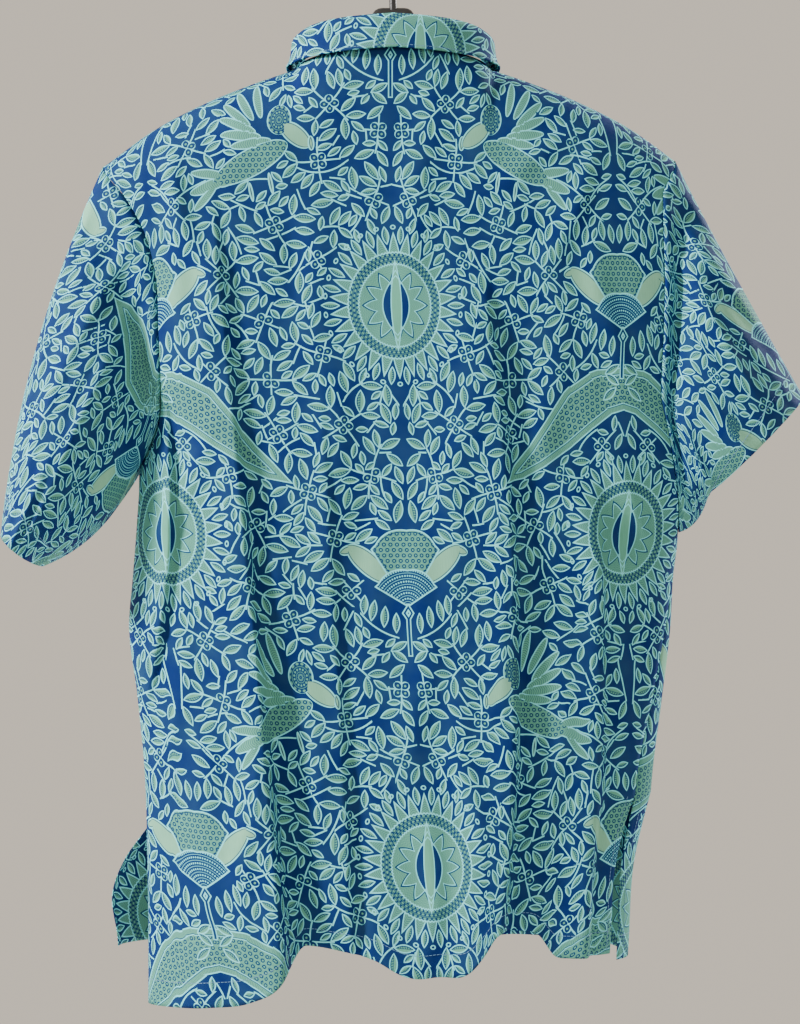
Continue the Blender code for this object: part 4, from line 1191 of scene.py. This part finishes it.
places = np.linspace(-COLLAR_END, COLLAR_END, 150)
lower = places * FALL_REACH
edge = curve(COLLAR, np.abs(lower), "edge", key="degrees")
spread = curve(COLLAR, np.abs(lower), "spread", key="degrees")
fold_line = curve(COLLAR, np.abs(places), "fold", key="degrees")
low_ring, _ = neck_point(lower, 0, 0, spread)
Bow = namedtuple("Bow", "share out")
BOWS = [Bow(0.0, -1.8), Bow(0.12, 1.6), Bow(0.4, 2.6), Bow(0.7, 1.6), Bow(1.0, 0.0)]
fall_rows = []
for share in np.concatenate([np.linspace(0, 0.12, 5)[:-1], np.linspace(0.12, 1, 24)]):
    high_ring, _ = neck_point(places, 0, STAND_LEAN, 4.2 + float(curve(BOWS, share, "out", key="share")))
    place = high_ring + (low_ring - high_ring) * share
    drop = fold_line + (edge - fold_line) * share
    fall_rows.append(clear_of_body(np.stack([place[:, 0], place[:, 1], COLLAR_TOP - drop], axis=-1)))
fall_grid = np.array(fall_rows)
fall_flat = flat_cut(fall_grid, len(places) // 2) + (24.0, 205.0)
fall = sheet_of("collar_fall_cloth", fall_grid, fall_flat, (0, 1, 0), 1.2)
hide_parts("collar_fall")

# Stitching. Lockstitched blue thread: one row along each hem and slit, a row along both edges
# of the placket, and topstitching a few millimetres inside the collar's edges.
STITCH_LENGTH = 2.3
STITCH_PITCH = 3.1
THREAD = 0.24               # radius of the thread


def mottled(title, dark, light, scale, detail=3.0, distortion=0.0):
    """A material whose colour wanders between two, its shader and the noise that it follows."""
    made = bpy.data.materials.new(title)
    made.use_nodes = True
    tree = made.node_tree
    place = Dye(tree.nodes.new("ShaderNodeTexCoord").outputs["Object"])
    noise = place.node("ShaderNodeTexNoise", {}, {
        "Vector": place, "Scale": scale, "Detail": detail, "Distortion": distortion})
    colour = noise.node("ShaderNodeMix", {"data_type": "RGBA"}, {0: noise, 6: dark, 7: light}, output=2)
    shader = tree.nodes["Principled BSDF"]
    tree.links.new(colour.socket, shader.inputs["Base Color"])
    return made, shader, noise


thread, thread_shader, _ = mottled("sewing_thread", (0.05, 0.16, 0.34, 1), (0.13, 0.30, 0.46, 1), 900.0, 2.0)
thread_shader.inputs["Roughness"].default_value = 0.6
thread_shader.inputs["Sheen Weight"].default_value = 0.2


def outward_of(grid, sign_point):
    """Unit directions out of a grid, away from a point inside the piece."""
    out = np.cross(np.gradient(grid, axis=0), np.gradient(grid, axis=1))
    out *= np.sign(np.sum(out * (grid - sign_point), axis=2, keepdims=True)) + 1e-9
    return out / (np.linalg.norm(out, axis=2, keepdims=True) + 1e-9)


def sew(name, rows):
    """Joins many copies of one rounded stitch along rows of points, each lying along its row."""
    stitch = bmesh.new()
    bmesh.ops.create_cone(stitch, cap_ends=True, segments=6, radius1=THREAD, radius2=THREAD,
                          depth=STITCH_LENGTH)
    shape = np.array([vertex.co for vertex in stitch.verts])
    faces = [[vertex.index for vertex in face.verts] for face in stitch.faces]
    stitch.free()
    shape[:, 1] *= 0.7
    points, polygons = [], []
    for path, out in rows:
        length = np.concatenate([[0], np.cumsum(np.linalg.norm(np.diff(path, axis=0), axis=1))])
        at = np.arange(STITCH_PITCH, length[-1] - STITCH_PITCH, STITCH_PITCH)
        middle = np.stack([np.interp(at, length, path[:, axis]) for axis in range(3)], axis=1)
        ahead = np.stack([np.interp(at + 0.5, length, path[:, axis]) for axis in range(3)], axis=1) - middle
        up = np.stack([np.interp(at, length, out[:, axis]) for axis in range(3)], axis=1)
        ahead /= np.linalg.norm(ahead, axis=1, keepdims=True) + 1e-9
        up -= ahead * np.sum(up * ahead, axis=1, keepdims=True)
        up /= np.linalg.norm(up, axis=1, keepdims=True) + 1e-9
        side = np.cross(up, ahead)
        for place, a, u, s in zip(middle, ahead, up, side):
            base = len(points) * len(shape)
            points.append(place + u * 0.12 + shape[:, :1] * s + shape[:, 1:2] * u + shape[:, 2:] * a)
            polygons += [[base + corner for corner in face] for face in faces]
    data = bpy.data.meshes.new(name)
    data.from_pydata((np.concatenate(points) * MM).tolist(), [], polygons)
    piece = bpy.data.objects.new(name, data)
    bpy.context.scene.collection.objects.link(piece)
    data.materials.append(thread)
    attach(piece, "root")
    return piece


HEM_ROW = -7                # row of the grid that the hems are sewn along
slit_row = ROWS[0] + ROWS[1]
back_out = outward_of(back_grid, back_grid * (1, 0, 1))
back_stitches = sew("back_stitches", [
    (back_grid[HEM_ROW], back_out[HEM_ROW]),
    (back_grid[slit_row:, 2], back_out[slit_row:, 2]), (back_grid[slit_row:, -3], back_out[slit_row:, -3]),
])
for name, grid, last in (("front_left", left_grid, None), ("front_right", right_grid, -2)):
    out = outward_of(grid, grid * (1, 0, 1))
    sew(name + "_stitches", [
        (grid[HEM_ROW, :last], out[HEM_ROW, :last]), (grid[slit_row:, 2], out[slit_row:, 2])])
placket_out = outward_of(placket_grid, placket_grid * (1, 0, 1))
placket_stitches = sew("placket_stitches", [(placket_grid[3:-2, column], placket_out[3:-2, column])
                                            for column in (1, 9)])
for name, grid in sleeve_grids.items():
    out = outward_of(grid, grid.mean(axis=1, keepdims=True))
    sew(name + "_stitches", [(grid[-6], out[-6])])
stand_out = outward_of(stand_grid, stand_grid * (0, 0, 1))
stand_stitches = sew("collar_stand_stitches", [(stand_grid[2], stand_out[2])])
fall_out = outward_of(fall_grid, fall_grid * (0, 0, 1))
fall_stitches = sew("collar_fall_stitches", [
    (fall_grid[-3, 3:-3], fall_out[-3, 3:-3]), (fall_grid[4:-3, 3], fall_out[4:-3, 3]),
    (fall_grid[4:-3, -4], fall_out[4:-3, -4])])

# Buttons. Seven turned discs of dark blue resin with a raised rim and four holes, sewn on with
# crossed thread: six down the placket and one on the end of the stand. The holes are not cut:
# each is a thin near-black disc on the face, painted shade for the hole's depth.
resin, resin_shader, swirl = mottled("button_resin", (0.012, 0.035, 0.12, 1), (0.05, 0.12, 0.27, 1),
                                     260.0, distortion=1.4)
resin.node_tree.links.new((0.22 + swirl * 0.18).socket, resin_shader.inputs["Roughness"])
# Near-black for the four holes: painted shade, not a colour of the resin.
painted_hole_shade = bpy.data.materials.new("button_holes")
painted_hole_shade.use_nodes = True
painted_hole_shade.node_tree.nodes["Principled BSDF"].inputs["Base Color"].default_value = (0.004, 0.006, 0.012, 1)
HOLE_RADIUS = 0.62
HOLE_PLACE = 1.35
BUTTON_THREAD = 0.34
Turn = namedtuple("Turn", "radius height")
PROFILE = [Turn(0.0, 0.0), Turn(4.6, 0.0), Turn(5.4, 0.5), Turn(5.5, 1.3), Turn(5.2, 2.1), Turn(4.6, 2.4),
           Turn(4.0, 2.2), Turn(3.4, 1.6), Turn(2.0, 1.45), Turn(0.0, 1.45)]
for number in range(7):
    low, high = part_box("button_%d" % number)
    middle_x, middle_z = (low[0] + high[0]) / 2, (low[2] + high[2]) / 2
    mesh = bmesh.new()
    profile = [mesh.verts.new((turn.radius * MM, 0, turn.height * MM)) for turn in PROFILE]
    edges = [mesh.edges.new(pair) for pair in zip(profile, profile[1:])]
    bmesh.ops.spin(mesh, geom=profile + edges, cent=(0, 0, 0), axis=(0, 0, 1), angle=math.tau, steps=28,
                   use_merge=True)
    bmesh.ops.remove_doubles(mesh, verts=mesh.verts, dist=1e-6)
    bmesh.ops.recalc_face_normals(mesh, faces=mesh.faces)
    # The holes: thin near-black discs laid on the face, painted shade where the holes would be.
    for corner in range(4):
        turn = math.pi / 4 + corner * math.pi / 2
        made = bmesh.ops.create_cone(mesh, cap_ends=True, segments=10, radius1=HOLE_RADIUS * MM,
                                     radius2=HOLE_RADIUS * MM, depth=0.06 * MM)
        place = mathutils.Vector((HOLE_PLACE * math.cos(turn), HOLE_PLACE * math.sin(turn), 1.47))
        bmesh.ops.translate(mesh, verts=made["verts"], vec=place * MM)
        for face in {face for vertex in made["verts"] for face in vertex.link_faces}:
            face.material_index = 1
    for side in (1, -1):
        made = bmesh.ops.create_cone(mesh, cap_ends=True, segments=6, radius1=BUTTON_THREAD * MM,
                                     radius2=BUTTON_THREAD * MM, depth=3.1 * MM)
        bmesh.ops.rotate(mesh, verts=made["verts"], cent=(0, 0, 0),
                         matrix=mathutils.Matrix.Rotation(math.pi / 2, 3, "Y"))
        bmesh.ops.rotate(mesh, verts=made["verts"], cent=(0, 0, 0),
                         matrix=mathutils.Matrix.Rotation(side * math.pi / 4, 3, "Z"))
        bmesh.ops.translate(mesh, verts=made["verts"], vec=(0, 0, 1.62 * MM))
        for face in {face for vertex in made["verts"] for face in vertex.link_faces}:
            face.material_index = 2
    bmesh.ops.rotate(mesh, verts=mesh.verts, cent=(0, 0, 0),
                     matrix=mathutils.Matrix.Rotation(math.pi / 2, 3, "X"))
    bmesh.ops.translate(mesh, verts=mesh.verts, vec=(middle_x, high[1], middle_z))
    data = bpy.data.meshes.new("turned_button_%d" % number)
    mesh.to_mesh(data)
    mesh.free()
    for material in (resin, painted_hole_shade, thread):
        data.materials.append(material)
    data.shade_smooth()
    button = bpy.data.objects.new("turned_button_%d" % number, data)
    bpy.context.scene.collection.objects.link(button)
    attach(button, "root")
    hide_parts("button_%d" % number)

# Hanger. One black polypropylene moulding: arms that droop to the shoulder tips, rising at the
# middle to a boss that grips the foot of the hook.
Arm = namedtuple("Arm", "across top height half_depth")
ARMS = [
    Arm(0, -11, 40, 6), Arm(9, -11, 39, 6), Arm(15, -9, 36, 6), Arm(24, 5, 28, 6),
    Arm(40, 23, 20, 6), Arm(60, 40, 15, 6), Arm(78, 51, 13, 6), Arm(118, 62, 13, 6),
    Arm(157, 79, 13, 6), Arm(190, 96, 13, 6), Arm(206, 108, 10, 5), Arm(211, 113, 4, 2.5),
]
HOOK_TUBE = 3.2             # radius of the hook's rod
HOOK_BEND = 21.0            # radius of the hook's middle line
plastic, plastic_shader, grain = mottled("moulded_plastic", (0.008, 0.008, 0.009, 1),
                                         (0.020, 0.020, 0.022, 1), 420.0)
plastic.node_tree.links.new((0.24 + grain * 0.2).socket, plastic_shader.inputs["Roughness"])
plastic_bump = grain.node("ShaderNodeBump", {}, {"Strength": 0.2, "Distance": 0.0001, "Height": grain})
plastic.node_tree.links.new(plastic_bump.socket, plastic_shader.inputs["Normal"])


def bridged(mesh, rings):
    """Skins a row of rings into one closed bar."""
    for first, second in zip(rings, rings[1:]):
        edges = [edge for ring in (first, second) for vertex in ring for edge in vertex.link_edges
                 if edge.other_vert(vertex) in ring]
        bmesh.ops.bridge_loops(mesh, edges=list(set(edges)))
    for ring in (rings[0], rings[-1]):
        mesh.faces.new(ring)


mesh = bmesh.new()
across = np.concatenate([np.linspace(-211, -30, 46), np.linspace(-27, 27, 19), np.linspace(30, 211, 46)])
rings = []
for x in across:
    top, height, depth = (float(curve(ARMS, abs(x), value, key="across"))
                          for value in ("top", "height", "half_depth"))
    made = bmesh.ops.create_circle(mesh, segments=24, radius=1.0)
    matrix = mathutils.Matrix(((0, 0, 1, x * MM), (depth * MM, 0, 0, 0),
                               (0, height / 2 * MM, 0, (COLLAR_TOP - top - height / 2) * MM), (0, 0, 0, 1)))
    bmesh.ops.transform(mesh, matrix=matrix, verts=made["verts"])
    rings.append(made["verts"])
bridged(mesh, rings)
centre = -HOOK_BEND
boss_top = COLLAR_TOP - ARMS[0].top
path = [(0.0, boss_top - 12), (0.0, boss_top + 6), (1.5, centre - HOOK_BEND - 3)]
path += [(HOOK_BEND * math.cos(math.radians(turn)), centre + HOOK_BEND * math.sin(math.radians(turn)))
         for turn in range(-60, 211, 15)]
path = np.array(path)
fine = np.linspace(0, len(path) - 1, 90)
lengths = np.arange(len(path))
smooth_path = np.stack([np.interp(fine, lengths, path[:, 0]), np.interp(fine, lengths, path[:, 1])], axis=1)
for _ in range(2):
    smooth_path[1:-1] = (smooth_path[:-2] + 2 * smooth_path[1:-1] + smooth_path[2:]) / 4
rings = []
for index, (x, z) in enumerate(smooth_path):
    before, after = smooth_path[max(index - 1, 0)], smooth_path[min(index + 1, len(smooth_path) - 1)]
    ahead = (after - before) / np.linalg.norm(after - before)
    end = min(index, len(smooth_path) - 1 - index)
    radius = HOOK_TUBE * (1.0 if end > 2 else (0.6, 0.85, 0.96)[end])
    made = bmesh.ops.create_circle(mesh, segments=20, radius=radius * MM)
    matrix = mathutils.Matrix(((ahead[1], 0, ahead[0], x * MM), (0, 1, 0, 0),
                               (-ahead[0], 0, ahead[1], z * MM), (0, 0, 0, 1)))
    bmesh.ops.transform(mesh, matrix=matrix, verts=made["verts"])
    rings.append(made["verts"])
bridged(mesh, rings)
bmesh.ops.recalc_face_normals(mesh, faces=mesh.faces)
data = bpy.data.meshes.new("hanger_moulding")
mesh.to_mesh(data)
mesh.free()
data.shade_smooth()
data.materials.append(plastic)
hanger = bpy.data.objects.new("hanger_moulding", data)
bpy.context.scene.collection.objects.link(hanger)
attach(hanger, "root")
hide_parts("hanger")
